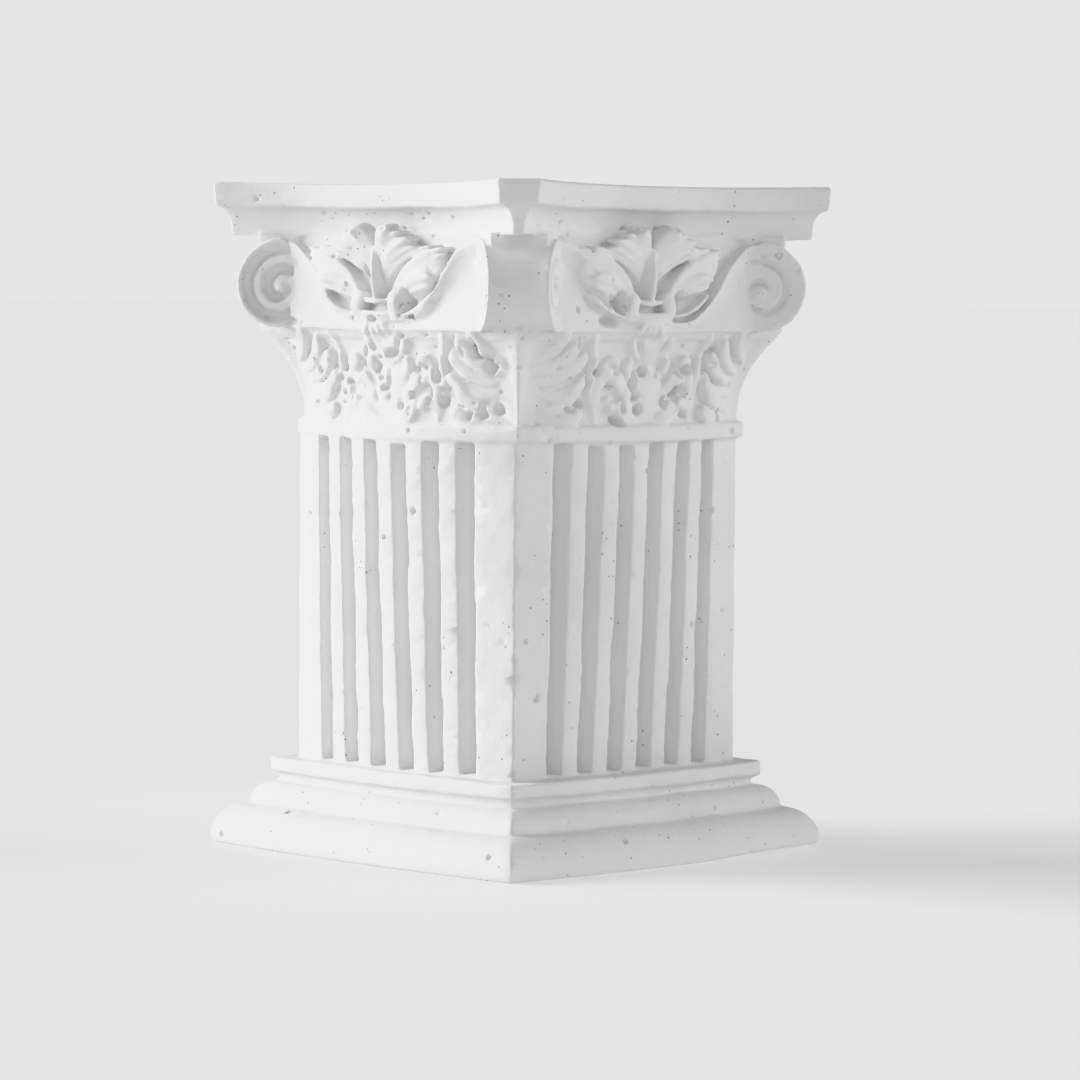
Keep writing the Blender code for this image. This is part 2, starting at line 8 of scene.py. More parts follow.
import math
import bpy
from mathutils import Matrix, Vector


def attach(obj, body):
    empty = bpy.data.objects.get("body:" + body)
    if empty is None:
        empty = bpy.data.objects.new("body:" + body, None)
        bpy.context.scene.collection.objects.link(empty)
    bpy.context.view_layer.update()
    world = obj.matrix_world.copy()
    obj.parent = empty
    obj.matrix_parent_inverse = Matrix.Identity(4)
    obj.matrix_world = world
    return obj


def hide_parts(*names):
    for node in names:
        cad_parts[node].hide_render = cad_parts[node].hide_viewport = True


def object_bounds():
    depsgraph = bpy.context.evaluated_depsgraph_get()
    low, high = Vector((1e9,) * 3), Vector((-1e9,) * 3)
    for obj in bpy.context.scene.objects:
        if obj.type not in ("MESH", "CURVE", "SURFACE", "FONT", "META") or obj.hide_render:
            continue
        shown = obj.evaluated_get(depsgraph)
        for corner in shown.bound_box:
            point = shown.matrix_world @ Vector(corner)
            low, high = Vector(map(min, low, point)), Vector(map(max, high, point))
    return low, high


bl_info = {
    "name": "Plaster Display Pedestal",
    "version": (1, 0, 0),
    "blender": (4, 5, 0),
    "location": "View3D > Sidebar > Pedestal",
    "description": "Builds a small cast plaster display pedestal and the pale studio around it",
    "category": "Add Mesh",
}

from types import SimpleNamespace

import bmesh
import bpy
import numpy as np
from bpy.props import FloatProperty, FloatVectorProperty, IntProperty, PointerProperty
from mathutils import Euler, Vector
from mathutils.kdtree import KDTree

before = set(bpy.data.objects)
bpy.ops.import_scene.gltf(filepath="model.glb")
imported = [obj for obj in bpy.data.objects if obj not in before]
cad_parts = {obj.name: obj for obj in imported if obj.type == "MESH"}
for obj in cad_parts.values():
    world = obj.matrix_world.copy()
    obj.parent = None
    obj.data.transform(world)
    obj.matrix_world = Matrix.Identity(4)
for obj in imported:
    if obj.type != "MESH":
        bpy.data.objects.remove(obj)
CAD_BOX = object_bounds()

MM = 0.001
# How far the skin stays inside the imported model's box
CLEARANCE = 0.01
# Faces are numbered anticlockwise from above, and corners from the one between the front and right faces
FRONT, RIGHT, BACK, LEFT = range(4)

# The foot and the shaft stand a little off the capital's axis
SHAFT_AXIS = (-0.25, 0.25)

# How far the middle of each face stands out from its corners, front, right, back, left
SHAFT_SWELL_AT_FOOT = (0.7, 1.4, 1.4, 2.2)
SHAFT_SWELL_AT_MIDDLE = (2.0, 2.6, 2.6, 3.4)
SHAFT_SWELL_AT_NECK = (3.0, 3.7, 3.7, 4.4)
FOOT_SWELL = (1.7, 1.7, 1.7, 1.7)

NECK_BOTTOM, NECK_TOP = 62.3, 64.8
BELL_LIP_BOTTOM, BELL_TOP = 76.8, 78.6
BELL_HALF_AT_NECK, BELL_HALF_AT_LIP, BELL_SWELL_AT_LIP = 22.9, 27.5, 0.7
ABACUS_BOTTOM, COVE_TOP, TOP = 92.0, 96.6, 100.0
FOOT_TOP = 13.1
ABACUS_CUT_HALF = 3.1
DRUM_HALF = 26.9
# How far left of a face's middle its palmette sits
PALMETTE_OFFSET = -1.4

# Halves of a face, left or right of its middle, where the carving is more worn, and how much of it is left
WORN = {(FRONT, -1): 0.7, (LEFT, -1): 0.55}

# Flutes whose top the plaster closed, by face and number from the left, and by how much
CLOSED_FLUTES = {(LEFT, 3): 0.9, (FRONT, 1): 0.8, (FRONT, 2): 0.8}


def length(name, description, millimetres):
    return FloatProperty(name=name, description=description, default=millimetres * MM, unit="LENGTH")


def colour(name, description, red, green, blue):
    return FloatVectorProperty(name=name, description=description, subtype="COLOR", size=4, min=0.0, max=1.0,
                               default=(red, green, blue, 1.0))


class PedestalSizes(bpy.types.PropertyGroup):
    foot_half: length("Foot half width", "From the axis to the foot's side at a corner", 32.6)
    shaft_half: length("Shaft half width", "From the axis to the shaft's side at a corner", 23.3)
    flute_width: length("Flute width", "Width of one flute", 3.0)
    flute_gap: length("Flute gap", "Flat strip between two flutes", 3.1)
    flute_depth: length("Flute depth", "Depth of a flute", 2.4)
    scroll_out: length("Scroll distance", "From the axis to a scroll's eye", 36.0)
    scroll_up: length("Scroll height", "Height of a scroll's eye", 84.2)
    scroll_radius: length("Scroll radius", "From the eye to the top of the scroll", 7.55)
    scroll_rim_half: length("Scroll rim half width", "Half the width of a scroll's front edge", 4.4)
    abacus_corner: length("Abacus corner", "From the axis to a cut corner of the abacus", 46.4)
    abacus_middle: length("Abacus side", "From the axis to the middle of a hollow side", 28.6)
    skin_step: length("Skin step", "Grid step that the shapes are fused on", 0.24)
    skin_triangles: IntProperty(name="Triangles", description="Triangles left in the skin", default=192000)
    pit_count: IntProperty(name="Air pits", description="Scattered air bubbles in the skin", default=520)


class PedestalColours(bpy.types.PropertyGroup):
    plaster: colour("Plaster", "Dry white plaster", 0.74, 0.74, 0.735)
    plaster_damp: colour("Plaster shade", "Slightly greyer patches of the plaster", 0.68, 0.68, 0.675)
    # Painted shade: the dark colour put into the smallest pinholes stands in for the shade inside them
    pit_shade: colour("Pit", "Inside of the smallest air pits", 0.30, 0.30, 0.30)
    floor: colour("Floor", "Studio floor", 0.42, 0.42, 0.422)
    backdrop: colour("Backdrop", "The air behind the pedestal", 0.79, 0.79, 0.795)


def in_millimetres(sizes):
    """The sizes as plain numbers in millimetres; counts stay as they are."""
    values = {}
    for name in PedestalSizes.__annotations__:
        value = getattr(sizes, name)
        values[name] = value / MM if isinstance(value, float) else value
    return SimpleNamespace(**values)


# Shape helpers

def mix(low, high, share):
    return low + (high - low) * share


def ramp(value, low, high):
    """0 below low, 1 above high, and smooth between."""
    share = np.clip((value - low) / (high - low), 0.0, 1.0)
    return share * share * (3 - 2 * share)


def wobble(value, seed):
    """A slow, uneven line between about -1 and 1, the same for the same seed."""
    total = 0.0
    for number, (rate, share) in enumerate(((0.23, 0.5), (0.61, 0.3), (1.57, 0.2))):
        total = total + share * np.sin(value * rate + seed * 1.7 + number * 2.1)
    return total


def on_face(side, along, out, up):
    """Points along, out from and up one face, as an array of places."""
    turn = side * math.pi / 2
    cosine, sine = round(math.cos(turn)), round(math.sin(turn))
    along, out, up = np.broadcast_arrays(along, out, up)
    return np.stack([along * cosine + out * sine, along * sine - out * cosine, up], axis=-1).astype(float)


def on_corner(corner, out, across, up):
    """Points out along a diagonal, across it and up."""
    turn = corner * math.pi / 2 - math.pi / 4
    cosine, sine = math.cos(turn), math.sin(turn)
    out, across, up = np.broadcast_arrays(out, across, up)
    return np.stack([out * cosine - across * sine, out * sine + across * cosine, up], axis=-1).astype(float)


def loft(rings):
    """A closed body through rings of equal length: its places, its quads and its two end caps."""
    rings = np.asarray(rings)
    rows, around = rings.shape[:2]
    here = np.arange(around)
    after = np.roll(here, -1)
    first = np.arange(rows - 1)[:, None] * around
    quads = np.stack([first + here, first + after, first + around + after, first + around + here], axis=-1)
    caps = [here[::-1].tolist(), (here + first[-1] + around).tolist()]
    return rings.reshape(-1, 3), quads.reshape(-1, 4).tolist(), caps


def swollen_square(half, swells, height, steps=28, axis=(0.0, 0.0)):
    """A square ring whose sides bow out by the given swells."""
    share = np.linspace(-1.0, 1.0, steps, endpoint=False)
    ring = [on_face(side, share * half, half + swells[side] * (1 - share ** 2), height) for side in range(4)]
    return np.concatenate(ring) + np.array([axis[0], axis[1], 0.0])


def arc(low, high, half_low, half_high, hollow=False, steps=12):
    """Heights and half widths on a quarter ellipse, steep at its low end, or hollow and steep at its top."""
    angle = np.linspace(0.0, math.pi / 2, steps)
    rise, run = (1 - np.cos(angle), np.sin(angle)) if hollow else (np.sin(angle), 1 - np.cos(angle))
    return list(zip(mix(low, high, rise), mix(half_low, half_high, run)))


def bezier(points, share):
    """Places on the curve with the given control points."""
    points = np.asarray(points, dtype=float)
    degree = len(points) - 1
    total = np.zeros((len(share), points.shape[1]))
    for index, point in enumerate(points):
        weight = math.comb(degree, index) * share ** index * (1 - share) ** (degree - index)
        total += weight[:, None] * point
    return total


# How much the flanks of a moulded lobe spread towards its foot
DRAFT = 0.3


def petal(side, course, half, rise, sink=1.0, groove=0.0, root=0.4, ground=None, steps=16, around=18):
    """A rounded lobe swept along a curve on a face, from a narrow root to a round tip.

    course holds control points (along, up, out). ground, if given, is the surface that out counts from.
    """
    share = np.linspace(0.0, 1.0, steps) ** 0.85
    line = bezier(course, share)
    if ground is not None:
        line[:, 2] += ground(side, line[:, 0], line[:, 1])
    course_way = np.gradient(line, axis=0)
    course_way /= np.linalg.norm(course_way, axis=1)[:, None]
    across = np.stack([course_way[:, 1], -course_way[:, 0], np.zeros(steps)], axis=1)
    across /= np.linalg.norm(across, axis=1)[:, None]
    away = np.cross(across, course_way)
    away *= np.sign(away[:, 2:3] + 1e-9)
    close = np.sqrt(np.clip(1 - np.clip((share - 0.72) / 0.28, 0, 1) ** 2, 0.003, 1))
    wide = half * (root + (1 - root) * np.sin(math.pi / 2 * np.clip(share / 0.7, 0, 1))) * close
    high = rise * (0.55 + 0.45 * share) * close
    angle = np.linspace(0.0, 2 * math.pi, around, endpoint=False)
    cosine, sine = np.cos(angle), np.sin(angle)
    above, below = np.clip(sine, 0, 1), np.clip(-sine, 0, 1)
    offset = np.where(below > 0.01, np.sign(cosine) * np.abs(cosine) ** 0.35 * (1 + DRAFT * below), cosine)
    lift = (above ** 0.8)[None] * high[:, None] - below[None] * sink
    lift -= groove * np.exp(-(cosine / 0.4) ** 2)[None] * (sine > 0)[None] * close[:, None]
    places = line[:, None] + away[:, None] * lift[..., None]
    places += across[:, None] * (offset[None] * wide[:, None])[..., None]
    return loft(on_face(side, places[..., 0], places[..., 2], places[..., 1]))


def bead(side, along, up, out, radius, steps=12, around=14):
    """A ball on a face."""
    tilt = np.linspace(-math.pi / 2 * 0.98, math.pi / 2 * 0.98, steps)[:, None]
    angle = np.linspace(0.0, 2 * math.pi, around, endpoint=False)[None]
    level, upright = along + radius * np.cos(tilt) * np.cos(angle), up + radius * np.cos(tilt) * np.sin(angle)
    return loft(on_face(side, level, out - radius * np.sin(tilt), upright))


def mirrored(course, sign):
    return [(sign * along, up, out) for along, up, out in course]


# Foot and shaft

def foot(size):
    """A lower and an upper roll, and a flat step under the shaft, as heights and half widths."""
    profile = [(0.0, size.foot_half - 0.3), (0.5, size.foot_half)]
    profile += arc(1.4, 6.1, size.foot_half + 0.1, 28.6, steps=18)
    profile += arc(6.3, 9.6, 28.55, 25.4, steps=14)
    profile += [(10.1, 25.3), (10.7, 25.5), (10.95, 26.1), (11.2, 26.35), (12.8, 26.35), (13.1, 26.15)]
    return [loft([swollen_square(half, FOOT_SWELL, height, axis=SHAFT_AXIS) for height, half in profile])]


def flute_offsets(size):
    """Where each flute's middle lies along a face."""
    pitch = size.flute_width + size.flute_gap
    return [(number - 2.5) * pitch for number in range(6)]


# Half the stretch of a face that the flutes take up, and the points across the plain margins beside it
FLUTED_HALF = 18.9
MARGIN_STEPS = 7


def shaft(size):
    """The fluted pier, whose flutes wander and vary a little and end in round hollows."""
    inside = np.array([-1.0, -0.93, -0.84, -0.66, -0.36, 0.0, 0.36, 0.66, 0.84, 0.93, 1.0])
    heights = np.concatenate([[FOOT_TOP - 0.6, FOOT_TOP], np.arange(FOOT_TOP + 0.1, FOOT_TOP + 1.4, 0.16),
                              np.linspace(FOOT_TOP + 1.6, 59.8, 44), np.arange(60.0, NECK_BOTTOM, 0.16),
                              [NECK_BOTTOM + 0.5]])
    rings = []
    for height in heights:
        level = (height - FOOT_TOP) / (NECK_BOTTOM - FOOT_TOP)
        ring = []
        for side in range(4):
            swell = np.interp(level, (0, 0.5, 1), (SHAFT_SWELL_AT_FOOT[side], SHAFT_SWELL_AT_MIDDLE[side],
                                                   SHAFT_SWELL_AT_NECK[side]))
            half = size.shaft_half
            along = [np.linspace(-half, -FLUTED_HALF, MARGIN_STEPS, endpoint=False)]
            depth = [np.zeros(MARGIN_STEPS)]
            for number, middle in enumerate(flute_offsets(size)):
                seed = side * 7 + number
                middle = middle + 0.13 * wobble(height, seed)
                width = size.flute_width / 2 * (1 + 0.045 * wobble(height * 1.3, seed + 31))
                foot_end = FOOT_TOP + 0.35 + 0.12 * wobble(seed * 3.0, 5)
                top_end = NECK_BOTTOM + 0.25 - CLOSED_FLUTES.get((side, number), 0.0)
                room = min(height - foot_end, top_end - height)
                carved = math.sqrt(max(1 - max(1 - room / 0.5, 0.0) ** 2, 0.0)) if room > 0 else 0.0
                along.append(middle + width * inside)
                depth.append(size.flute_depth * carved * (1 - np.abs(inside) ** 3.2) ** 0.6)
            along.append(np.linspace(FLUTED_HALF, half, MARGIN_STEPS, endpoint=False))
            depth.append(np.zeros(MARGIN_STEPS))
            along, depth = np.concatenate(along), np.concatenate(depth)
            out = half + swell * (1 - (along / half) ** 2) - depth
            ring.append(on_face(side, along, out, height))
        rings.append(np.concatenate(ring) + np.array([SHAFT_AXIS[0], SHAFT_AXIS[1], 0.0]))
    return [loft(rings)]


def neck(size):
    profile = ((NECK_BOTTOM, 23.5), (NECK_BOTTOM + 0.25, 23.8), (NECK_TOP - 0.3, 23.85), (NECK_TOP, 23.5))
    return [loft([swollen_square(half, SHAFT_SWELL_AT_NECK, height) for height, half in profile])]


# Bell and leaves

def bell_half(height):
    share = np.clip((height - NECK_TOP) / (BELL_TOP - NECK_TOP), 0.0, 1.0)
    return mix(BELL_HALF_AT_NECK, BELL_HALF_AT_LIP, share ** 2.2)


def bell_swell(side, height):
    share = np.clip((height - NECK_TOP) / (BELL_TOP - NECK_TOP), 0.0, 1.0)
    return mix(SHAFT_SWELL_AT_NECK[side], BELL_SWELL_AT_LIP, share)


def bell_out(side, along, height):
    """How far out the bell's plain surface lies at a place on one face."""
    half = bell_half(height)
    return half + bell_swell(side, height) * (1 - np.clip(np.abs(along) / half, 0, 1) ** 2)


def bell(size):
    rings = []
    profile = [(height, 0.0) for height in [NECK_TOP - 0.6, *np.linspace(NECK_TOP, BELL_LIP_BOTTOM, 26)]]
    profile += [(BELL_LIP_BOTTOM + 0.3, 0.35), (BELL_TOP - 0.5, 0.4), (BELL_TOP - 0.1, 0.1), (BELL_TOP, -0.8)]
    for height, proud in profile:
        half = bell_half(min(height, BELL_TOP - 0.5)) + proud
        rings.append(swollen_square(half, [bell_swell(side, height) for side in range(4)], height))
    return [loft(rings)]


def drum(size):
    heights = (BELL_TOP - 1.0, ABACUS_BOTTOM + 0.6)
    return [loft([swollen_square(DRUM_HALF, (0.0,) * 4, height) for height in heights])]


# Lobes of the middle leaf: control points across the face, up it and out from the bell, half width, height
MIDDLE_LEAF = (
    (((0.6, 65.2, -0.2), (3.2, 64.9, 0.3), (5.6, 66.0, 0.6), (5.4, 68.2, 0.7)), 1.05, 0.8),
    (((1.6, 66.6, 0.0), (3.4, 66.8, 0.3), (4.4, 68.2, 0.5), (3.6, 69.6, 0.6)), 0.75, 0.7),
    (((1.8, 69.0, 0.0), (4.0, 68.8, 0.3), (5.9, 70.2, 0.6), (5.5, 72.2, 0.8)), 1.0, 0.85),
    (((1.4, 71.6, 0.0), (3.4, 71.4, 0.3), (4.4, 72.8, 0.5), (3.7, 74.4, 0.7)), 0.8, 0.8),
    (((0.8, 73.6, 0.0), (2.2, 74.4, 0.3), (3.6, 75.6, 0.5), (4.2, 77.2, 0.5)), 0.6, 0.6),
    (((0.4, 73.4, 0.0), (0.9, 75.0, 0.3), (1.6, 76.4, 0.5), (2.2, 77.6, 0.5)), 0.6, 0.6),
)
# Lobes of the half leaf beside each corner
CORNER_LEAF = (
    (((19.8, 65.3, -0.2), (16.4, 64.9, 0.3), (13.4, 65.6, 0.7), (12.6, 67.2, 0.9)), 1.0, 0.9),
    (((19.6, 66.8, 0.0), (16.8, 67.0, 0.4), (14.2, 68.2, 0.8), (13.6, 70.6, 1.0)), 1.1, 1.0),
    (((19.8, 68.8, 0.0), (16.2, 68.8, 0.4), (12.6, 69.8, 0.7), (12.3, 72.2, 1.0)), 0.95, 1.0),
    (((20.2, 70.8, 0.0), (17.6, 70.6, 0.4), (14.2, 72.4, 0.8), (13.2, 75.2, 1.0)), 1.1, 1.0),
    (((21.2, 72.2, 0.0), (19.0, 72.4, 0.4), (16.0, 74.2, 0.8), (15.2, 77.2, 1.0)), 1.1, 1.0),
    (((22.4, 73.4, 0.0), (21.4, 74.4, 0.4), (18.6, 75.8, 0.8), (18.4, 78.4, 1.0)), 1.1, 0.9),
)
# The stem beside the middle leaf, its curl, its leaf and a strap at its foot
STEM = (
    (((9.9, 64.9, 0.0), (9.8, 68.0, 0.4), (9.5, 71.0, 0.6), (8.9, 73.2, 0.8)), 0.75, 0.9),
    (((9.2, 71.2, 0.2), (9.4, 74.6, 0.6), (7.0, 74.9, 0.8), (6.4, 72.9, 1.0)), 0.65, 1.0),
    (((9.4, 69.4, 0.0), (8.4, 71.8, 0.5), (6.6, 71.6, 0.8), (6.3, 70.1, 0.9)), 0.75, 1.0),
    (((9.6, 65.8, 0.0), (8.8, 68.2, 0.4), (7.4, 68.4, 0.7), (6.9, 66.9, 0.9)), 0.8, 1.0),
    (((10.2, 66.0, 0.0), (10.9, 68.6, 0.4), (11.1, 71.6, 0.6), (10.8, 74.6, 0.8)), 0.6, 0.8),
    (((10.4, 72.8, 0.0), (10.9, 75.4, 0.4), (12.0, 76.4, 0.6), (12.4, 78.0, 0.6)), 0.7, 0.7),
)

# Share of those heights that a soft mould leaves
LEAF_RISE = 0.68


def bell_leaves(size):
    shapes = []
    for side in range(4):
        body = ((0.4, 65.4, -0.3), (0.4, 68.0, 0.4), (0.4, 70.4, 0.5), (0.4, 73.2, 0.0))
        shapes.append(petal(side, body, 3.1, 0.6, root=0.7, ground=bell_out, steps=22))
        for lean in (-2, -1, 0, 1, 2):
            rib = ((lean / 4, 72.4, -0.1), (0.3 * lean, 74.2, 0.3), (lean / 2, 75.8, 0.4), (lean, 77.2, 0.0))
            shapes.append(petal(side, rib, 0.5, 0.45, ground=bell_out))
        for sign in (-1, 1):
            shapes.append(bead(side, 8.1 * sign, 72.4, bell_out(side, 8.1, 72.4) - 0.2, 1.35))
            shapes.append(bead(side, 6.7 * sign, 67.2, bell_out(side, 6.7, 67.2) - 0.1, 1.0))
            for course, half, rise in MIDDLE_LEAF + CORNER_LEAF + STEM:
                rise *= LEAF_RISE * WORN.get((side, sign), 1.0)
                shapes.append(petal(side, mirrored(course, sign), half, rise, ground=bell_out, groove=0.12))
    return shapes


def corner_ribs(size):
    """The midrib of each corner leaf, which flares under the scroll, with a groove down either side."""
    shapes = []
    for corner in range(4):
        rings = []
        for share in np.linspace(0.0, 1.0, 24):
            height = mix(NECK_TOP - 0.4, 79.4, share)
            reach = bell_half(min(height, BELL_TOP)) * math.sqrt(2)
            proud = 0.35 + 1.0 * share ** 2
            half = mix(1.0, 2.9, share ** 1.2)
            close = math.sqrt(max(1 - max((share - 0.86) / 0.14, 0) ** 2, 0.01))
            angle = np.linspace(0, 2 * math.pi, 20, endpoint=False)
            across = half * close * np.cos(angle)
            out = reach - 1.1 + (proud + 1.1) * close * np.sin(angle) - 0.9 * np.abs(across)
            rings.append(on_corner(corner, out, across, height))
        shapes.append(loft(rings))
    return shapes


# Palmette

# Right half of the palmette: control points across the face from its spine, up it and out from the axis, then
# half width and height. First the inner frond's bed and its fingers, then the outer leaf's bed and ridges
INNER_FROND = (
    (((0.7, 86.2, 26.4), (1.4, 88.8, 27.6), (3.4, 90.2, 28.4), (6.4, 90.7, 28.7)), 1.6, 0.6),
    (((0.6, 85.6, 27.0), (0.9, 89.4, 28.4), (1.7, 92.4, 29.2), (3.6, 93.2, 30.2)), 1.3, 1.0),
    (((0.6, 85.4, 27.2), (0.7, 89.0, 28.4), (2.6, 92.0, 29.2), (6.2, 92.7, 30.0)), 0.6, 0.8),
    (((0.7, 85.0, 27.2), (1.2, 88.6, 28.4), (4.0, 91.2, 29.2), (8.3, 91.6, 29.8)), 0.8, 0.85),
    (((0.8, 84.6, 27.2), (1.6, 87.8, 28.2), (4.6, 89.8, 28.8), (9.3, 90.5, 29.4)), 0.5, 0.7),
    (((0.8, 84.2, 27.0), (2.0, 86.8, 28.0), (5.4, 89.0, 28.6), (12.3, 90.7, 29.0)), 0.45, 0.6),
)
OUTER_LEAF = (
    (((3.6, 81.6, 26.8), (6.6, 84.6, 28.0), (9.6, 86.8, 28.4), (14.2, 88.6, 28.4)), 2.3, 0.6),
    (((3.1, 82.0, 28.2), (4.4, 86.6, 28.9), (8.2, 88.6, 29.0), (15.0, 90.4, 28.8)), 0.55, 0.65),
    (((3.6, 82.4, 28.2), (5.4, 86.0, 28.8), (9.0, 87.9, 29.0), (14.8, 89.3, 28.8)), 0.4, 0.5),
    (((4.0, 82.6, 28.2), (5.8, 85.4, 28.7), (9.0, 87.1, 28.9), (14.2, 88.2, 28.7)), 0.4, 0.45),
    (((4.4, 82.8, 28.0), (6.4, 85.0, 28.8), (8.8, 86.6, 29.0), (12.6, 85.9, 29.3)), 0.85, 0.75),
    (((4.6, 82.4, 27.8), (7.0, 84.2, 28.5), (9.4, 85.2, 28.7), (12.2, 84.9, 28.8)), 0.9, 0.6),
)
# The collar: its floor, upper and lower rim, and the round shoulder beside it
COLLAR = (
    (((-2.6, 81.4, 26.6), (-1.0, 81.4, 27.4), (1.0, 81.4, 27.4), (2.6, 81.4, 26.6)), 1.3, 0.4),
    (((-2.7, 82.7, 28.2), (-1.0, 82.3, 29.2), (1.0, 82.3, 29.2), (2.7, 82.7, 28.2)), 0.3, 0.4),
    (((-4.6, 80.7, 27.8), (-1.8, 80.2, 29.4), (1.8, 80.2, 29.4), (4.6, 80.7, 27.8)), 0.55, 0.5),
)
SHOULDER = (((2.4, 79.9, 27.6), (4.4, 80.4, 28.8), (4.5, 82.0, 29.0), (2.7, 83.8, 28.2)), 1.15, 0.7)
# The spine over the collar, and the line under the outer leaf
SPINE = (((0.0, 82.0, 28.4), (0.0, 85.0, 29.2), (0.0, 88.0, 29.3), (0.0, 90.6, 28.6)), 0.4, 0.7)
UNDERLINE = (((4.6, 80.4, 28.2), (8.0, 80.6, 28.7), (10.0, 81.6, 28.8), (12.6, 84.0, 28.6)), 0.4, 0.35)
# The inner frond's round tip: how far from the spine, up and out it lies, and its radius
TIP_ALONG, TIP_UP, TIP_OUT, TIP_RADIUS = 3.4, 92.8, 30.8, 1.2
# How far a palmette's lobes reach in behind their line, so that they meet the drum
PALMETTE_SINK = 2.4


def palmettes(size):
    """Two fronds and two leaves beside a spine, over a collar from which short drops hang."""
    shapes = []

    def add(side, sign, course, half, rise, **shape):
        moved = [(sign * along + PALMETTE_OFFSET, up, out) for along, up, out in course]
        shapes.append(petal(side, moved, half, rise, sink=PALMETTE_SINK, **shape))

    for side in range(4):
        for sign in (-1, 1):
            left = WORN.get((side, sign), 1.0)
            for course, half, rise in INNER_FROND + OUTER_LEAF:
                add(side, sign, course, half, rise * left, groove=0.12, root=0.35, steps=26)
            tip = TIP_RADIUS * left
            shapes.append(bead(side, TIP_ALONG * sign + PALMETTE_OFFSET, TIP_UP, TIP_OUT - tip, tip))
            add(side, sign, *SHOULDER, root=0.8)
            for lean in (0.6, 2.0):
                drop = ((lean / 2, 80.3, 28.4), (0.7 * lean, 79.4, 28.9), (lean, 78.6, 28.8),
                        (1.3 * lean, 77.4, 28.2))
                add(side, sign, drop, 0.5, 0.45)
            add(side, sign, *UNDERLINE)
        add(side, 1, *SPINE, root=0.9)
        for course, half, rise in COLLAR:
            add(side, 1, course, half, rise, root=1.0)
    return shapes


# Scrolls

# How far the spiral winds in with each turn, and how much a scroll's half thickness grows per length inward
SCROLL_TURN = 3.1
SCROLL_SPLAY = 0.22
# How hollow each corner's scrolls are: front right, back right, back left, front left
SCROLL_HOLLOW = (0.12, 0.5, 0.9, 0.2)
# A seat between a scroll and the abacus: its ends from the axis, its underside, and its inset from the scroll
SEAT_INNER, SEAT_OUTER, SEAT_BOTTOM, SEAT_INSET = 33.0, 39.4, 89.6, 1.2


def scroll_reach(size):
    return size.scroll_out + size.scroll_radius


def scroll_half(size, out):
    """Half thickness of a scroll, which grows towards the axis because its faces splay."""
    return size.scroll_rim_half + SCROLL_SPLAY * (scroll_reach(size) - out)


def scroll_face_out(size, along):
    """How far out, square to a face, the face of a scroll lies at a place along that face."""
    half = scroll_half(size, math.sqrt(2) * along) / (1 + SCROLL_SPLAY)
    return along + math.sqrt(2) * half


def scroll_lift(size, radius, angle, hollow):
    """How far a scroll's face lies over its plane: a band winds in to the eye beside a groove."""
    turns = (size.scroll_radius - radius) / SCROLL_TURN - angle / (2 * math.pi)
    turn = np.floor(turns)
    inward = turns - turn
    groove = np.exp(-((inward - 1.0) / 0.15) ** 2) + np.where(turn > 0, np.exp(-(inward / 0.15) ** 2), 0.0)
    crown = -0.5 * (inward - 0.42) ** 2
    channel = np.sin(math.pi * np.clip((inward - 0.2) / 0.68, 0.0, 1.0)) ** 0.7
    sunk = 0.25 * (size.scroll_radius - radius) / SCROLL_TURN
    lift = crown - sunk - 1.2 * (1 - 0.8 * hollow) * groove - 2.0 * hollow * channel
    eye = np.exp(-(radius / 0.9) ** 4)
    return mix(lift, -0.25, eye)


def scrolls(size):
    """Two faces for each corner's scroll, with a dished front edge, and the seat over them."""
    shapes = []
    angle = np.linspace(0, 2 * math.pi, 110, endpoint=False)
    spiral = size.scroll_radius - SCROLL_TURN * angle / (2 * math.pi)
    outline = mix(spiral, size.scroll_radius, (angle / (2 * math.pi)) ** 7)
    for corner in range(4):
        for sign in (-1, 1):
            rings = []
            for share in np.linspace(0.02, 1.0, 44):
                radius = outline * share
                out = size.scroll_out + radius * np.sin(angle)
                lift = scroll_lift(size, radius, angle, SCROLL_HOLLOW[corner]) * ramp(1.0 - share, 0.0, 0.03)
                edge = 0.25 * ramp(share, 0.95, 1.0)
                rings.append(on_corner(corner, out, sign * (scroll_half(size, out) + lift - edge),
                                       size.scroll_up + radius * np.cos(angle)))
            for share, dip in ((0.93, 0.05), (0.8, 0.3), (0.6, 0.45), (0.3, 0.5), (0.0, 0.5)):
                radius = outline - dip
                out = size.scroll_out + radius * np.sin(angle)
                rings.append(on_corner(corner, out, sign * scroll_half(size, out) * share,
                                       size.scroll_up + radius * np.cos(angle)))
            shapes.append(loft(rings))
        ends = ((SEAT_INNER, 1), (SEAT_INNER, -1), (SEAT_OUTER, -1), (SEAT_OUTER, 1))
        seat = np.array([(out, sign * (scroll_half(size, out) - SEAT_INSET)) for out, sign in ends]).T
        heights = np.linspace(SEAT_BOTTOM, ABACUS_BOTTOM + 0.5, 4)
        shapes.append(loft([on_corner(corner, *seat, height) for height in heights]))
    return shapes


# Upper edge of a ribbon, across the face and up, beside the near corner, where it is fuller, and elsewhere
NEAR_RIBBON = ((0.0, 6.0, 8.8, 10.0, 12.2, 13.8, 15.2, 17.4, 20.0),
               (79.6, 79.9, 81.2, 82.9, 85.8, 88.0, 89.6, 91.0, 91.4))
RIBBON = ((0.0, 6.0, 8.0, 9.8, 11.8, 13.4, 14.9, 17.0, 18.8, 20.6),
          (79.5, 79.6, 80.2, 81.4, 83.1, 85.0, 87.4, 89.4, 90.8, 91.4))
# A ribbon's ends across the face, its least distance from the axis, and where its hidden back lies
RIBBON_START, RIBBON_END, RIBBON_OUT, RIBBON_BACK = 0.6, 20.4, 28.7, 23.4


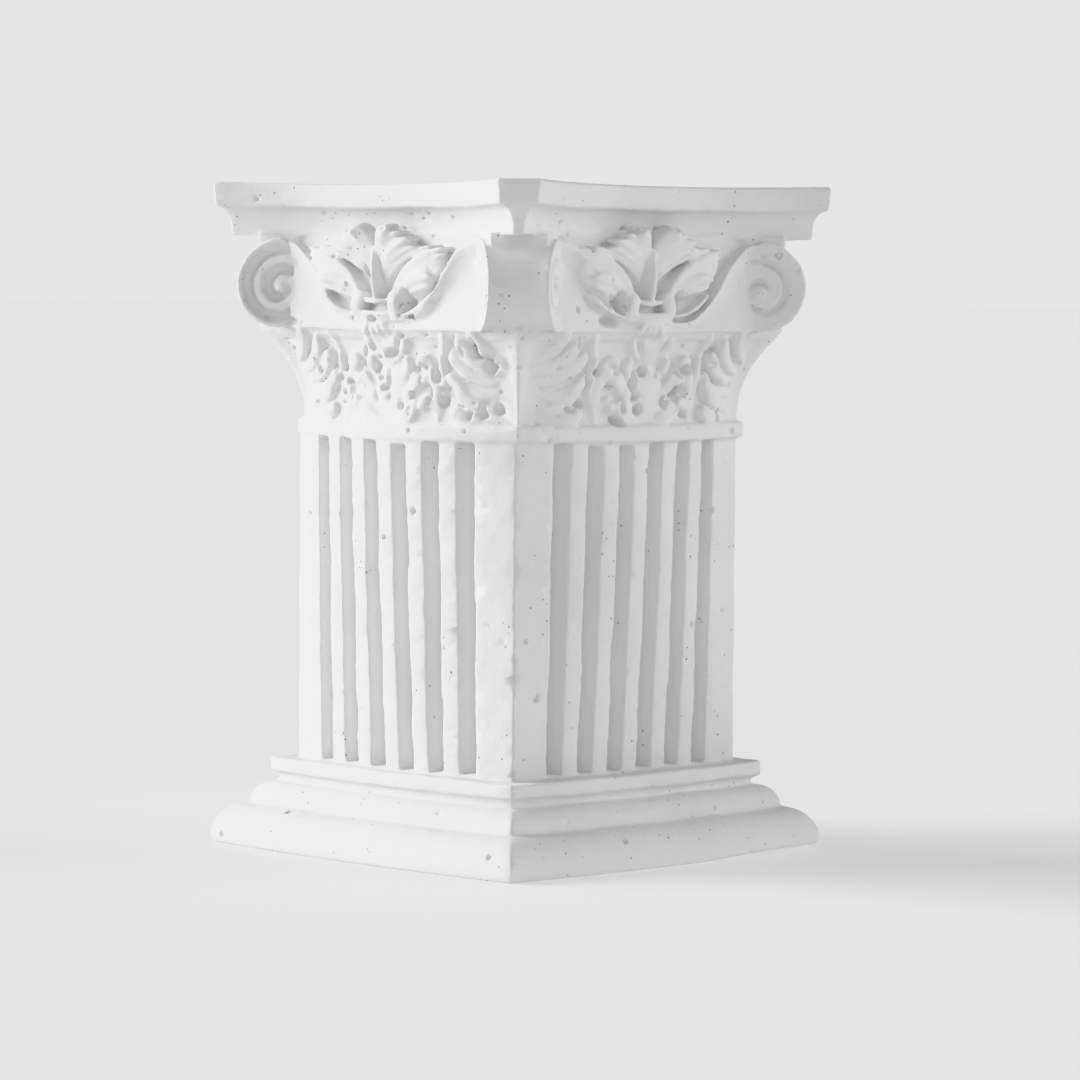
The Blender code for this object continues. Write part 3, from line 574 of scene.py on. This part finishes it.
def ribbons(size):
    """The channelled ribbons that sweep up from under each palmette into the scrolls."""
    shapes = []
    for side in range(4):
        for sign in (-1, 1):
            rings = []
            near = (side, sign) in ((FRONT, -1), (LEFT, 1))
            for along in np.linspace(RIBBON_START, RIBBON_END, 46):
                share = (along - RIBBON_START) / (RIBBON_END - RIBBON_START)
                top = np.interp(along, *(NEAR_RIBBON if near else RIBBON))
                low = BELL_TOP - 0.4
                out = max(RIBBON_OUT, scroll_face_out(size, along) - 0.45)
                across = np.array([0.0, 0.06, 0.14, 0.3, 0.5, 0.7, 0.86, 0.94, 1.0])
                channel = (1.5 if near else 0.8) * share ** 0.5 * np.sin(math.pi * across ** 1.4) ** 1.3
                lip = 0.2 * np.exp(-((across - 0.95) / 0.07) ** 2)
                depth = np.concatenate([[RIBBON_BACK], out - channel + lip, [RIBBON_BACK]])
                up = np.concatenate([[low], mix(low, top, across), [top - 0.4]])
                rings.append(on_face(side, sign * along, depth, up))
            shapes.append(loft(rings))
    return shapes


# Abacus

def abacus_ring(size, inset, height, steps=44):
    """The abacus's outline: hollowed sides between cut corners, moved in by the inset."""
    corner = size.abacus_corner - inset
    cut = ABACUS_CUT_HALF - 0.85 * inset
    end_along, end_out = (corner - cut) / math.sqrt(2), (corner + cut) / math.sqrt(2)
    share = np.linspace(-1.0, 1.0, steps)
    out = mix(size.abacus_middle - inset, end_out, np.abs(share) ** 2.8)
    return np.concatenate([on_face(side, share * end_along, out, height) for side in range(4)])


def abacus(size):
    profile = [(ABACUS_BOTTOM, 2.8), (ABACUS_BOTTOM + 0.25, 2.65)]
    profile += arc(ABACUS_BOTTOM + 0.8, COVE_TOP - 0.3, 2.6, 0.75, steps=14)
    profile += [(COVE_TOP - 0.1, 0.45), (COVE_TOP + 0.2, 0.3), (TOP - 0.35, 0.0), (TOP, 0.3)]
    return [loft([abacus_ring(size, inset, height) for height, inset in profile])]


PARTS = (foot, shaft, neck, bell, drum, bell_leaves, corner_ribs, palmettes, scrolls, ribbons, abacus)


# Casting

def fused(name, shapes, step):
    """One skin over all the overlapping shapes."""
    places, faces, count = [], [], 0
    for verts, quads, caps in shapes:
        places.append(verts)
        faces += [[index + count for index in face] for face in quads]
        faces += [[index + count for index in face] for face in caps]
        count += len(verts)
    mesh = bpy.data.meshes.new(name)
    mesh.from_pydata((np.concatenate(places) * MM).tolist(), [], faces)
    mesh.update()
    piece = bpy.data.objects.new(name, mesh)
    bpy.context.scene.collection.objects.link(piece)
    fuse = piece.modifiers.new("fuse", "REMESH")
    fuse.mode = "VOXEL"
    fuse.voxel_size = step
    soften = piece.modifiers.new("soften", "SMOOTH")
    soften.factor = 0.5
    soften.iterations = 3
    return settled(piece)


def settled(piece):
    """Applies all the modifiers of a piece."""
    evaluated = piece.evaluated_get(bpy.context.evaluated_depsgraph_get())
    mesh = bpy.data.meshes.new_from_object(evaluated)
    old = piece.data
    piece.modifiers.clear()
    piece.data = mesh
    bpy.data.meshes.remove(old)
    mesh.name = piece.name
    return piece


def read(mesh, quality):
    """A vector for each vertex of a mesh."""
    vectors = np.empty(len(mesh.vertices) * 3, dtype=np.float32)
    mesh.vertices.foreach_get(quality, vectors)
    return vectors.reshape(-1, 3).astype(float)


def places_and_normals(mesh):
    return read(mesh, "co") / MM, read(mesh, "normal")


def set_places(mesh, places):
    mesh.vertices.foreach_set("co", (places * MM).astype(np.float32).ravel())
    mesh.update()


# Hollows left between the leaves, on the front and on the left face: place along the face and up it, half
# width, half height and lean in degrees
FRONT_HOLLOWS = (
    (-0.9, 72.3, 0.8, 0.8, -10), (1.9, 71.8, 0.3, 0.5, -25), (-2.7, 71.0, 0.5, 1.6, 0),
    (-2.1, 68.8, 0.6, 0.7, 10), (-1.5, 66.8, 0.8, 0.8, 0), (-4.8, 67.1, 0.5, 0.9, 0),
    (3.9, 67.9, 0.7, 0.9, 0), (6.7, 69.4, 1.3, 0.8, 30), (6.8, 71.7, 1.0, 0.3, -20),
    (8.3, 72.5, 1.1, 0.8, 0), (8.7, 65.9, 0.7, 0.5, 0), (-7.3, 70.4, 0.4, 0.9, 60),
    (-10.3, 72.4, 0.8, 0.6, 0), (-11.8, 71.2, 0.7, 1.1, 25), (-12.6, 67.6, 1.1, 0.7, 0),
    (-5.8, 65.0, 1.3, 0.7, -30), (16.1, 70.8, 1.2, 0.3, 0), (13.9, 73.3, 1.1, 0.4, 0),
    (17.0, 65.7, 0.4, 1.1, 0), (13.0, 75.4, 1.6, 0.3, 12), (12.3, 70.8, 0.3, 0.9, 0),
    (-15.3, 76.7, 0.5, 1.0, 0), (-14.8, 66.9, 1.0, 0.4, -20), (-9.8, 79.7, 2.0, 0.8, 0),
    (4.6, 82.6, 1.2, 1.7, -15), (-7.4, 82.6, 1.1, 1.6, 15), (2.0, 93.2, 0.6, 0.4, -15),
    (-4.8, 93.2, 0.7, 0.4, 10),
)
LEFT_HOLLOWS = (
    (14.4, 76.5, 0.5, 1.2, 0), (15.9, 75.2, 0.3, 1.0, 0), (18.3, 75.7, 0.9, 1.5, -10),
    (20.1, 73.4, 0.9, 1.6, -18), (7.7, 72.7, 0.7, 0.5, 0), (6.9, 71.0, 0.3, 1.2, 0),
    (5.8, 72.7, 0.3, 1.0, 0), (9.9, 71.6, 0.8, 1.1, -10), (8.5, 68.8, 0.3, 1.4, 0),
    (11.0, 69.7, 0.7, 0.4, 0), (10.8, 67.9, 0.8, 0.9, 0), (12.9, 69.5, 0.4, 0.7, 0),
    (13.4, 67.1, 1.4, 0.3, 10), (15.8, 66.0, 0.3, 0.8, 0), (17.7, 66.5, 0.6, 1.1, 0),
    (20.2, 67.0, 0.6, 0.9, 20), (2.7, 67.1, 0.7, 0.6, 0), (4.7, 66.4, 0.3, 1.0, 0), (0.2, 70.6, 0.4, 2.0, 0),
    (1.0, 74.8, 1.5, 0.7, 15), (3.6, 77.4, 0.6, 0.5, 0), (8.8, 77.6, 0.4, 0.3, 0), (-1.8, 74.2, 0.4, 0.3, 0),
    (-2.6, 72.5, 0.7, 0.9, 20), (-1.8, 71.1, 0.7, 0.6, 0), (-0.9, 69.6, 0.9, 0.6, 0),
    (0.2, 68.4, 0.4, 0.7, 0), (-1.6, 79.8, 0.8, 0.6, 0), (-5.2, 75.1, 0.4, 1.0, -25),
    (-3.0, 75.7, 0.4, 0.7, 20), (-9.7, 72.6, 0.7, 0.8, 0), (-11.1, 71.0, 0.5, 0.6, 30),
    (-9.0, 70.4, 0.7, 0.5, 0), (-10.4, 68.8, 0.6, 0.5, 0), (-8.1, 68.3, 0.3, 0.6, 0),
    (-10.5, 67.3, 1.0, 0.4, 0), (-12.3, 72.8, 0.4, 0.4, 0), (-12.2, 76.6, 0.9, 0.3, -40),
    (-16.7, 73.4, 0.9, 0.4, -20), (-18.2, 74.9, 0.9, 0.4, 30), (-16.2, 72.0, 0.7, 0.7, 0),
    (-18.0, 67.1, 1.1, 0.5, 0), (-20.0, 79.2, 1.1, 0.6, 0), (5.4, 80.0, 1.4, 0.4, 0),
    (4.6, 82.6, 1.2, 1.7, -15), (-3.8, 86.0, 0.5, 1.8, 5), (2.0, 93.0, 0.5, 0.3, -15),
)


def hollowed(piece):
    """Sinks the hollows into each face; the two hidden faces repeat the ones opposite."""
    mesh = piece.data
    places, normals = places_and_normals(mesh)
    for side in range(4):
        level, outward = on_face(side, 1.0, 0.0, 0.0), on_face(side, 0.0, 1.0, 0.0)
        facing = (normals @ outward > 0.2) & (places @ outward > 20.0) & (places[:, 2] > NECK_TOP - 0.5)
        near = np.flatnonzero(facing)
        along, up = places[near] @ level, places[near, 2]
        sink = np.zeros(len(near))
        for middle, height, wide, tall, lean in FRONT_HOLLOWS if side in (FRONT, BACK) else LEFT_HOLLOWS:
            turn = math.radians(lean)
            across = (along - middle) * math.cos(turn) + (up - height) * math.sin(turn)
            upright = (up - height) * math.cos(turn) - (along - middle) * math.sin(turn)
            share = (across / wide) ** 2 + (upright / tall) ** 2
            depth = min(1.8 * min(wide, tall), 1.7)
            sink = np.maximum(sink, depth * np.clip(1.0 - share / 1.2, 0.0, 1.0) ** 0.7)
        places[near] -= sink[:, None] * outward
    set_places(mesh, places)


# Larger air holes and dents in the plain faces: face, place along it and up it, and radius
LARGE_PITS = (
    (LEFT, 5.8, 51.8, 0.55), (LEFT, -16.8, 6.1, 0.6), (LEFT, -30.4, 1.2, 0.5), (LEFT, 28.2, 3.6, 0.5),
    (FRONT, -10.6, 4.7, 0.5), (FRONT, 16.5, 51.2, 0.5), (FRONT, -19.4, 24.7, 0.45),
    (FRONT, 20.8, 63.2, 0.45), (LEFT, 7.8, 95.0, 0.35), (LEFT, 6.2, 94.2, 0.3), (LEFT, 4.4, 94.8, 0.3),
    (FRONT, -21.8, 97.2, 0.3), (LEFT, 5.2, 68.7, 0.4), (LEFT, 24.7, 75.6, 0.35), (LEFT, 25.2, 72.8, 0.35),
    (LEFT, 24.4, 69.8, 0.3), (LEFT, 20.6, 69.2, 0.35), (LEFT, 10.0, 75.6, 0.3), (LEFT, 5.3, 63.7, 0.4),
)
# Least and greatest radius of a scattered pit, and its least and greatest depth for a radius of one
PIT_RADIUS, PIT_DEPTH, LARGE_PIT_DEPTH = (0.18, 0.52), (0.6, 1.1), 1.2


def pitted(piece, count):
    """Opens air bubbles in the skin, more of them in the capital, and a few blunt dents in known places."""
    mesh = piece.data
    places, normals = places_and_normals(mesh)
    chance = np.random.default_rng(7)
    x, y, z = places.T
    weight = np.where(z > 62, 3.0, 1.0) * np.where(z > COVE_TOP, 0.25, 1.0) * np.where(z < 0.5, 0.0, 1.0)
    cluster = np.sin(x * 0.31 + 1.0) * np.sin(y * 0.27 + 2.0) * np.sin(z * 0.23)
    weight *= 0.25 + np.clip(cluster + 0.4, 0, 2) ** 2
    chosen = chance.choice(len(places), size=count, replace=False, p=weight / weight.sum())
    tree = KDTree(len(places))
    for index, place in enumerate(places):
        tree.insert(place, index)
    tree.balance()
    holes = []
    for index in chosen:
        holes.append((index, mix(*PIT_RADIUS, chance.random() ** 3), mix(*PIT_DEPTH, chance.random())))
    for side, along, up, radius in LARGE_PITS:
        level, outward = on_face(side, 1.0, 0.0, 0.0), on_face(side, 0.0, 1.0, 0.0)
        column = (np.abs(places @ level - along) < 0.3) & (np.abs(places[:, 2] - up) < 0.3)
        holes.append((int(np.argmax(np.where(column, places @ outward, -np.inf))), radius, LARGE_PIT_DEPTH))
    moved = places.copy()
    for index, radius, steepness in holes:
        depth = radius * steepness
        for _, near, distance in tree.find_range(places[index], radius * 1.35):
            share = distance / radius
            hollow = max(1 - share * share, 0.0) ** 0.5 if share < 1 else 0.0
            brim = 0.12 * math.exp(-((share - 1.1) / 0.15) ** 2)
            moved[near] -= normals[index] * (hollow * depth - brim * radius)
    moved[:, 2] = np.clip(moved[:, 2], 0.0, TOP - CLEARANCE)
    set_places(mesh, moved)


# Depths of the hollow in the top, of the dip in the neck band, of the arch under the foot and of two waves
TOP_HOLLOW, NECK_DIP, FOOT_ARCH, LONG_WAVE, SHORT_WAVE = 0.45, 0.4, 0.55, 0.10, 0.045


def warped(piece):
    """The small faults of the cast: hollow top, dipping neck band, arched foot and slow waves."""
    mesh = piece.data
    places, normals = places_and_normals(mesh)
    x, y, z = places.T
    inner = np.minimum(np.abs(x), np.abs(y))
    outer = np.maximum(np.abs(x), np.abs(y))
    middle = 1 - np.clip(inner / 30.0, 0, 1) ** 2
    places[:, 2] -= TOP_HOLLOW * middle * ramp(z, 88.0, 97.0)
    places[:, 2] -= NECK_DIP * middle * ramp(outer, 18.0, 24.0) * np.exp(-((z - 63.6) / 2.2) ** 2)
    right_of_front = ramp(x, 2.0, 22.0) * ramp(-y, 20.0, 32.0)
    places[:, 2] += FOOT_ARCH * right_of_front * np.exp(-(z / 1.6) ** 2)
    wave = LONG_WAVE * np.sin(x * 0.31 + z * 0.17 + 0.5) * np.sin(y * 0.27 - z * 0.21 + 1.3)
    wave += SHORT_WAVE * np.sin(x * 1.3 + z * 0.9) * np.sin(y * 1.1 + z * 1.7 + 0.4)
    wave *= ramp(z, 0.3, 2.0) * (1 - ramp(z, 98.6, 99.6))
    places += normals * wave[:, None]
    low, high = (np.array(corner) / MM for corner in CAD_BOX)
    places = np.clip(places, low + CLEARANCE, high - CLEARANCE)
    places[:, 2] = np.maximum(places[:, 2], 0.0)
    set_places(mesh, places)


def thinned(piece, triangles):
    """Leaves the given number of triangles in the skin, more of them where it curves."""
    piece.data.calc_loop_triangles()
    thin = piece.modifiers.new("thin", "DECIMATE")
    thin.ratio = min(triangles / len(piece.data.loop_triangles), 1.0)
    settled(piece)
    piece.data.shade_smooth()


# Materials

def fill(tree, socket, source):
    """Links an output to an input, or sets the input to a plain value."""
    if isinstance(source, bpy.types.NodeSocket):
        tree.links.new(source, socket)
    else:
        socket.default_value = source


def add_node(tree, kind, **values):
    """A node of the given kind, with its plain properties set and its inputs filled, by name."""
    node = tree.nodes.new(kind)
    for name, value in values.items():
        if hasattr(node, name):
            setattr(node, name, value)
        else:
            fill(tree, node.inputs[name.replace("_", " ")], value)
    return node


def math_node(tree, operation, *sources):
    """The outcome of a sum whose terms are numbers or outputs."""
    node = add_node(tree, "ShaderNodeMath", operation=operation)
    for socket, source in zip(node.inputs, sources):
        fill(tree, socket, source)
    return node.outputs[0]


def mixed_colour(tree, share, low, high):
    node = add_node(tree, "ShaderNodeMix", data_type="RGBA")
    for slot, source in ((0, share), (6, low), (7, high)):
        fill(tree, node.inputs[slot], source)
    return node.outputs[2]


def group_tree(name, numbers, results):
    """A node group that takes coordinates and named numbers, and gives named numbers."""
    tree = bpy.data.node_groups.new(name, "ShaderNodeTree")
    tree.interface.new_socket("Coordinates", in_out="INPUT", socket_type="NodeSocketVector")
    for label, value in numbers:
        socket = tree.interface.new_socket(label, in_out="INPUT", socket_type="NodeSocketFloat")
        socket.default_value = value
    for label in results:
        tree.interface.new_socket(label, in_out="OUTPUT", socket_type="NodeSocketFloat")
    return tree, tree.nodes.new("NodeGroupInput").outputs, tree.nodes.new("NodeGroupOutput").inputs


def grain_group():
    """Soft patches, and a fine dry grain mixed with a coarser one."""
    tree, given, result = group_tree("dry_grain", (("Patch Size", 60.0), ("Grain Size", 2500.0)),
                                     ("Patches", "Grain"))
    where, grain_size = given["Coordinates"], given["Grain Size"]
    patches = add_node(tree, "ShaderNodeTexNoise", Vector=where, Scale=given["Patch Size"], Detail=4.0,
                       Roughness=0.6)
    fine = add_node(tree, "ShaderNodeTexNoise", Vector=where, Scale=grain_size, Detail=3.0, Roughness=0.65)
    wider = math_node(tree, "MULTIPLY", grain_size, 0.3)
    coarse = add_node(tree, "ShaderNodeTexNoise", Vector=where, Scale=wider, Detail=2.0, Roughness=0.5)
    fine_share = math_node(tree, "MULTIPLY", fine.outputs["Fac"], 0.3)
    fill(tree, result["Patches"], patches.outputs["Fac"])
    fill(tree, result["Grain"], math_node(tree, "MULTIPLY_ADD", coarse.outputs["Fac"], 0.7, fine_share))


def pinhole_group():
    """Pinholes: round specks with soft brims, scattered unevenly; the mask carries their painted shade and the
    height their dents.
    """
    tree, given, result = group_tree("pinholes", (("Scale", 700.0), ("Radius", 0.16), ("Share", 0.15)),
                                     ("Mask", "Height"))
    where, scale = given["Coordinates"], given["Scale"]
    cells = add_node(tree, "ShaderNodeTexVoronoi", feature="F1", Vector=where, Scale=scale)
    chance = add_node(tree, "ShaderNodeSeparateColor", Color=cells.outputs["Color"])
    uneven = add_node(tree, "ShaderNodeTexNoise", Vector=where, Scale=90.0, Detail=2.0)
    crowd = add_node(tree, "ShaderNodeMapRange", interpolation_type="SMOOTHSTEP", Value=uneven.outputs["Fac"],
                     From_Min=0.42, From_Max=0.68)
    allowed = math_node(tree, "MULTIPLY", crowd.outputs[0], given["Share"])
    picked = math_node(tree, "LESS_THAN", chance.outputs[0], allowed)
    reach = math_node(tree, "DIVIDE", cells.outputs["Distance"], given["Radius"])
    inside = add_node(tree, "ShaderNodeMapRange", interpolation_type="SMOOTHSTEP", Value=reach,
                      From_Min=0.55, From_Max=1.0, To_Min=1.0, To_Max=0.0)
    mask = math_node(tree, "MULTIPLY", inside.outputs[0], picked)
    fill(tree, result["Mask"], mask)
    fill(tree, result["Height"], math_node(tree, "SUBTRACT", 1.0, mask))


def shader_of(name, roughness, specular):
    material = bpy.data.materials.new(name)
    material.use_nodes = True
    shader = material.node_tree.nodes["Principled BSDF"].inputs
    shader["Roughness"].default_value = roughness
    shader["Specular IOR Level"].default_value = specular
    return material, material.node_tree, shader


def placed_group(tree, name, **values):
    """One of the shared node groups, laid out over the object's own coordinates."""
    where = add_node(tree, "ShaderNodeTexCoord").outputs["Object"]
    group = bpy.data.node_groups[name]
    return add_node(tree, "ShaderNodeGroup", node_tree=group, Coordinates=where, **values).outputs


def plaster_material(colours):
    """Dry plaster, with grey patches, a fine grain, and pinholes of two sizes that dent it and are darkened by
    painted shade.
    """
    material, tree, shader = shader_of("white_plaster", 0.88, 0.25)
    grain = placed_group(tree, "dry_grain", Patch_Size=45.0, Grain_Size=2400.0)
    small = placed_group(tree, "pinholes", Scale=1300.0, Radius=0.20, Share=0.16)
    large = placed_group(tree, "pinholes", Scale=620.0, Radius=0.13, Share=0.10)
    faint = add_node(tree, "ShaderNodeMapRange", Value=grain["Patches"], From_Min=0.45, From_Max=0.75,
                     To_Max=0.6)
    tint = mixed_colour(tree, faint.outputs[0], colours.plaster, colours.plaster_damp)
    # Painted shade: inside the pinholes the plaster is mixed towards the dark pit colour as if in shadow
    pinhole_shade_share = math_node(tree, "MAXIMUM", small["Mask"], large["Mask"])
    fill(tree, shader["Base Color"], mixed_colour(tree, pinhole_shade_share, tint, colours.pit_shade))
    rough = add_node(tree, "ShaderNodeMapRange", Value=grain["Grain"], To_Min=0.80, To_Max=0.95)
    fill(tree, shader["Roughness"], rough.outputs[0])
    dents = add_node(tree, "ShaderNodeBump", Height=grain["Grain"], Strength=0.7, Distance=0.12 * MM)
    lowest = math_node(tree, "MINIMUM", small["Height"], large["Height"])
    hollows = add_node(tree, "ShaderNodeBump", Height=lowest, Normal=dents.outputs["Normal"], Strength=0.8,
                       Distance=0.2 * MM)
    fill(tree, shader["Normal"], hollows.outputs["Normal"])
    return material


def floor_material(colours):
    material, tree, shader = shader_of("studio_floor", 0.9, 0.1)
    grain = placed_group(tree, "dry_grain", Patch_Size=2.0, Grain_Size=900.0)
    darker = [value * 0.97 for value in colours.floor[:3]] + [1.0]
    fill(tree, shader["Base Color"], mixed_colour(tree, grain["Patches"], colours.floor, darker))
    shader["Emission Color"].default_value = (1.0, 1.0, 1.0, 1.0)
    shader["Emission Strength"].default_value = FLOOR_GLOW
    return material


# Operators

class PEDESTAL_OT_effects(bpy.types.Operator):
    """Make the node groups that the materials share"""
    bl_idname = "pedestal.effects"
    bl_label = "Surface Effects"

    def execute(self, context):
        grain_group()
        pinhole_group()
        return {"FINISHED"}


class PEDESTAL_OT_cast(bpy.types.Operator):
    """Cast the whole pedestal as one pitted plaster skin"""
    bl_idname = "pedestal.cast"
    bl_label = "Cast Pedestal"

    def execute(self, context):
        size = in_millimetres(context.scene.pedestal_sizes)
        shapes = []
        for part in PARTS:
            shapes += part(size)
        step = size.skin_step * MM * 1.0
        piece = fused("pedestal_cast", shapes, step)
        warped(piece)
        hollowed(piece)
        pitted(piece, size.pit_count)
        thinned(piece, size.skin_triangles)
        piece.data.materials.clear()
        piece.data.materials.append(plaster_material(context.scene.pedestal_colours))
        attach(piece, "root")
        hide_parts("pedestal")
        return {"FINISHED"}


CAMERA_DISTANCE = 692.0 * MM
CAMERA_HEIGHT = 86.0 * MM
CAMERA_TURN = math.radians(-44.37)
FOCAL_PIXELS = 4577.0
IMAGE_PIXELS = 1080.0
AXIS_COLUMN, HORIZON_ROW = 519.5, 277.8
CAMERA_ROLL = math.radians(0.5)
FLOOR_HALF = 12.0
# Name, the way to the light, its strength and its spread in degrees
STUDIO_LIGHTS = (
    ("left_light", (-0.52, 0.77, 0.37), 4.1, 46.0),
    ("right_light", (0.75, -0.56, 0.35), 1.5, 45.0),
    ("front_light", (-0.70, -0.68, 0.22), 0.7, 50.0),
)
AIR_LIGHT = 0.14
# The floor's own light, which keeps its shadows faint
FLOOR_GLOW = 0.42
# Bends of the tone curve, as tones in and out, and what full brightness comes out as
TONE_BENDS, TONE_WHITE = ((0.5, 0.5), (0.74, 0.745), (0.86, 0.83)), 0.865


class PEDESTAL_OT_stage(bpy.types.Operator):
    """Set up the pale floor, the side lights and the camera"""
    bl_idname = "pedestal.stage"
    bl_label = "Studio"

    def execute(self, context):
        self.floor(context)
        self.lights(context)
        self.camera(context)
        return {"FINISHED"}

    def floor(self, context):
        """A wide level floor, as bright as the air behind it."""
        mesh = bmesh.new()
        bmesh.ops.create_grid(mesh, x_segments=8, y_segments=8, size=FLOOR_HALF)
        data = bpy.data.meshes.new("studio_floor")
        mesh.to_mesh(data)
        mesh.free()
        floor = bpy.data.objects.new("studio_floor", data)
        floor.data.materials.append(floor_material(context.scene.pedestal_colours))
        context.scene.collection.objects.link(floor)

    def lights(self, context):
        """Broad soft light from three sides, pale air all round, and soft highlights."""
        for name, toward, strength, spread in STUDIO_LIGHTS:
            light = bpy.data.lights.new(name, "SUN")
            light.energy = strength
            light.angle = math.radians(spread)
            lamp = bpy.data.objects.new(name, light)
            lamp.location = Vector(toward)
            lamp.rotation_euler = (-Vector(toward)).to_track_quat("-Z", "Y").to_euler()
            context.scene.collection.objects.link(lamp)
        world = bpy.data.worlds.new("studio_air")
        world.use_nodes = True
        tree = world.node_tree
        air = tree.nodes["Background"]
        air.inputs["Color"].default_value = (1.0, 1.0, 1.0, 1.0)
        air.inputs["Strength"].default_value = AIR_LIGHT
        seen = add_node(tree, "ShaderNodeBackground", Color=context.scene.pedestal_colours.backdrop)
        path = add_node(tree, "ShaderNodeLightPath")
        either = add_node(tree, "ShaderNodeMixShader", Fac=path.outputs["Is Camera Ray"])
        fill(tree, either.inputs[1], air.outputs[0])
        fill(tree, either.inputs[2], seen.outputs[0])
        fill(tree, tree.nodes["World Output"].inputs["Surface"], either.outputs[0])
        context.scene.world = world
        view = context.scene.view_settings
        view.view_transform = "Standard"
        view.use_curve_mapping = True
        shoulder = view.curve_mapping.curves[3]
        shoulder.points[-1].location = (1.0, TONE_WHITE)
        for bright, shown in TONE_BENDS:
            shoulder.points.new(bright, shown)
        view.curve_mapping.update()

    def camera(self, context):
        """The photo's camera: level with the scrolls, shifted by small turns instead of a lens shift."""
        data = bpy.data.cameras.new("camera")
        data.sensor_width = 36.0
        data.lens = FOCAL_PIXELS * data.sensor_width / IMAGE_PIXELS
        camera = bpy.data.objects.new("camera", data)
        toward = Vector((math.sin(-CAMERA_TURN), math.cos(-CAMERA_TURN), 0.0))
        camera.location = -toward * CAMERA_DISTANCE + Vector((0.0, 0.0, CAMERA_HEIGHT))
        yaw = math.atan((IMAGE_PIXELS / 2 - AXIS_COLUMN) / FOCAL_PIXELS)
        pitch = math.atan((IMAGE_PIXELS / 2 - HORIZON_ROW) / FOCAL_PIXELS)
        turn = Euler((math.pi / 2 - pitch, 0.0, CAMERA_TURN - yaw)).to_quaternion()
        camera.rotation_euler = (turn @ Euler((0.0, 0.0, CAMERA_ROLL)).to_quaternion()).to_euler()
        context.scene.collection.objects.link(camera)
        context.scene.camera = camera


class PEDESTAL_PT_panel(bpy.types.Panel):
    """Sizes, colours and building steps of the pedestal"""
    bl_idname = "PEDESTAL_PT_panel"
    bl_label = "Plaster Pedestal"
    bl_space_type = "VIEW_3D"
    bl_region_type = "UI"
    bl_category = "Pedestal"

    def draw(self, context):
        for group in (context.scene.pedestal_sizes, context.scene.pedestal_colours):
            column = self.layout.column()
            for name in type(group).__annotations__:
                column.prop(group, name)
        for operator in OPERATORS:
            self.layout.operator(operator.bl_idname)


OPERATORS = (PEDESTAL_OT_effects, PEDESTAL_OT_cast, PEDESTAL_OT_stage)
CLASSES = (PedestalSizes, PedestalColours) + OPERATORS + (PEDESTAL_PT_panel,)


def register():
    for kind in CLASSES:
        bpy.utils.register_class(kind)
    bpy.types.Scene.pedestal_sizes = PointerProperty(type=PedestalSizes)
    bpy.types.Scene.pedestal_colours = PointerProperty(type=PedestalColours)


def unregister():
    del bpy.types.Scene.pedestal_colours
    del bpy.types.Scene.pedestal_sizes
    for kind in reversed(CLASSES):
        bpy.utils.unregister_class(kind)


def main():
    register()
    bpy.ops.pedestal.effects()
    bpy.ops.pedestal.cast()
    bpy.ops.pedestal.stage()


if __name__ == "__main__":
    main()
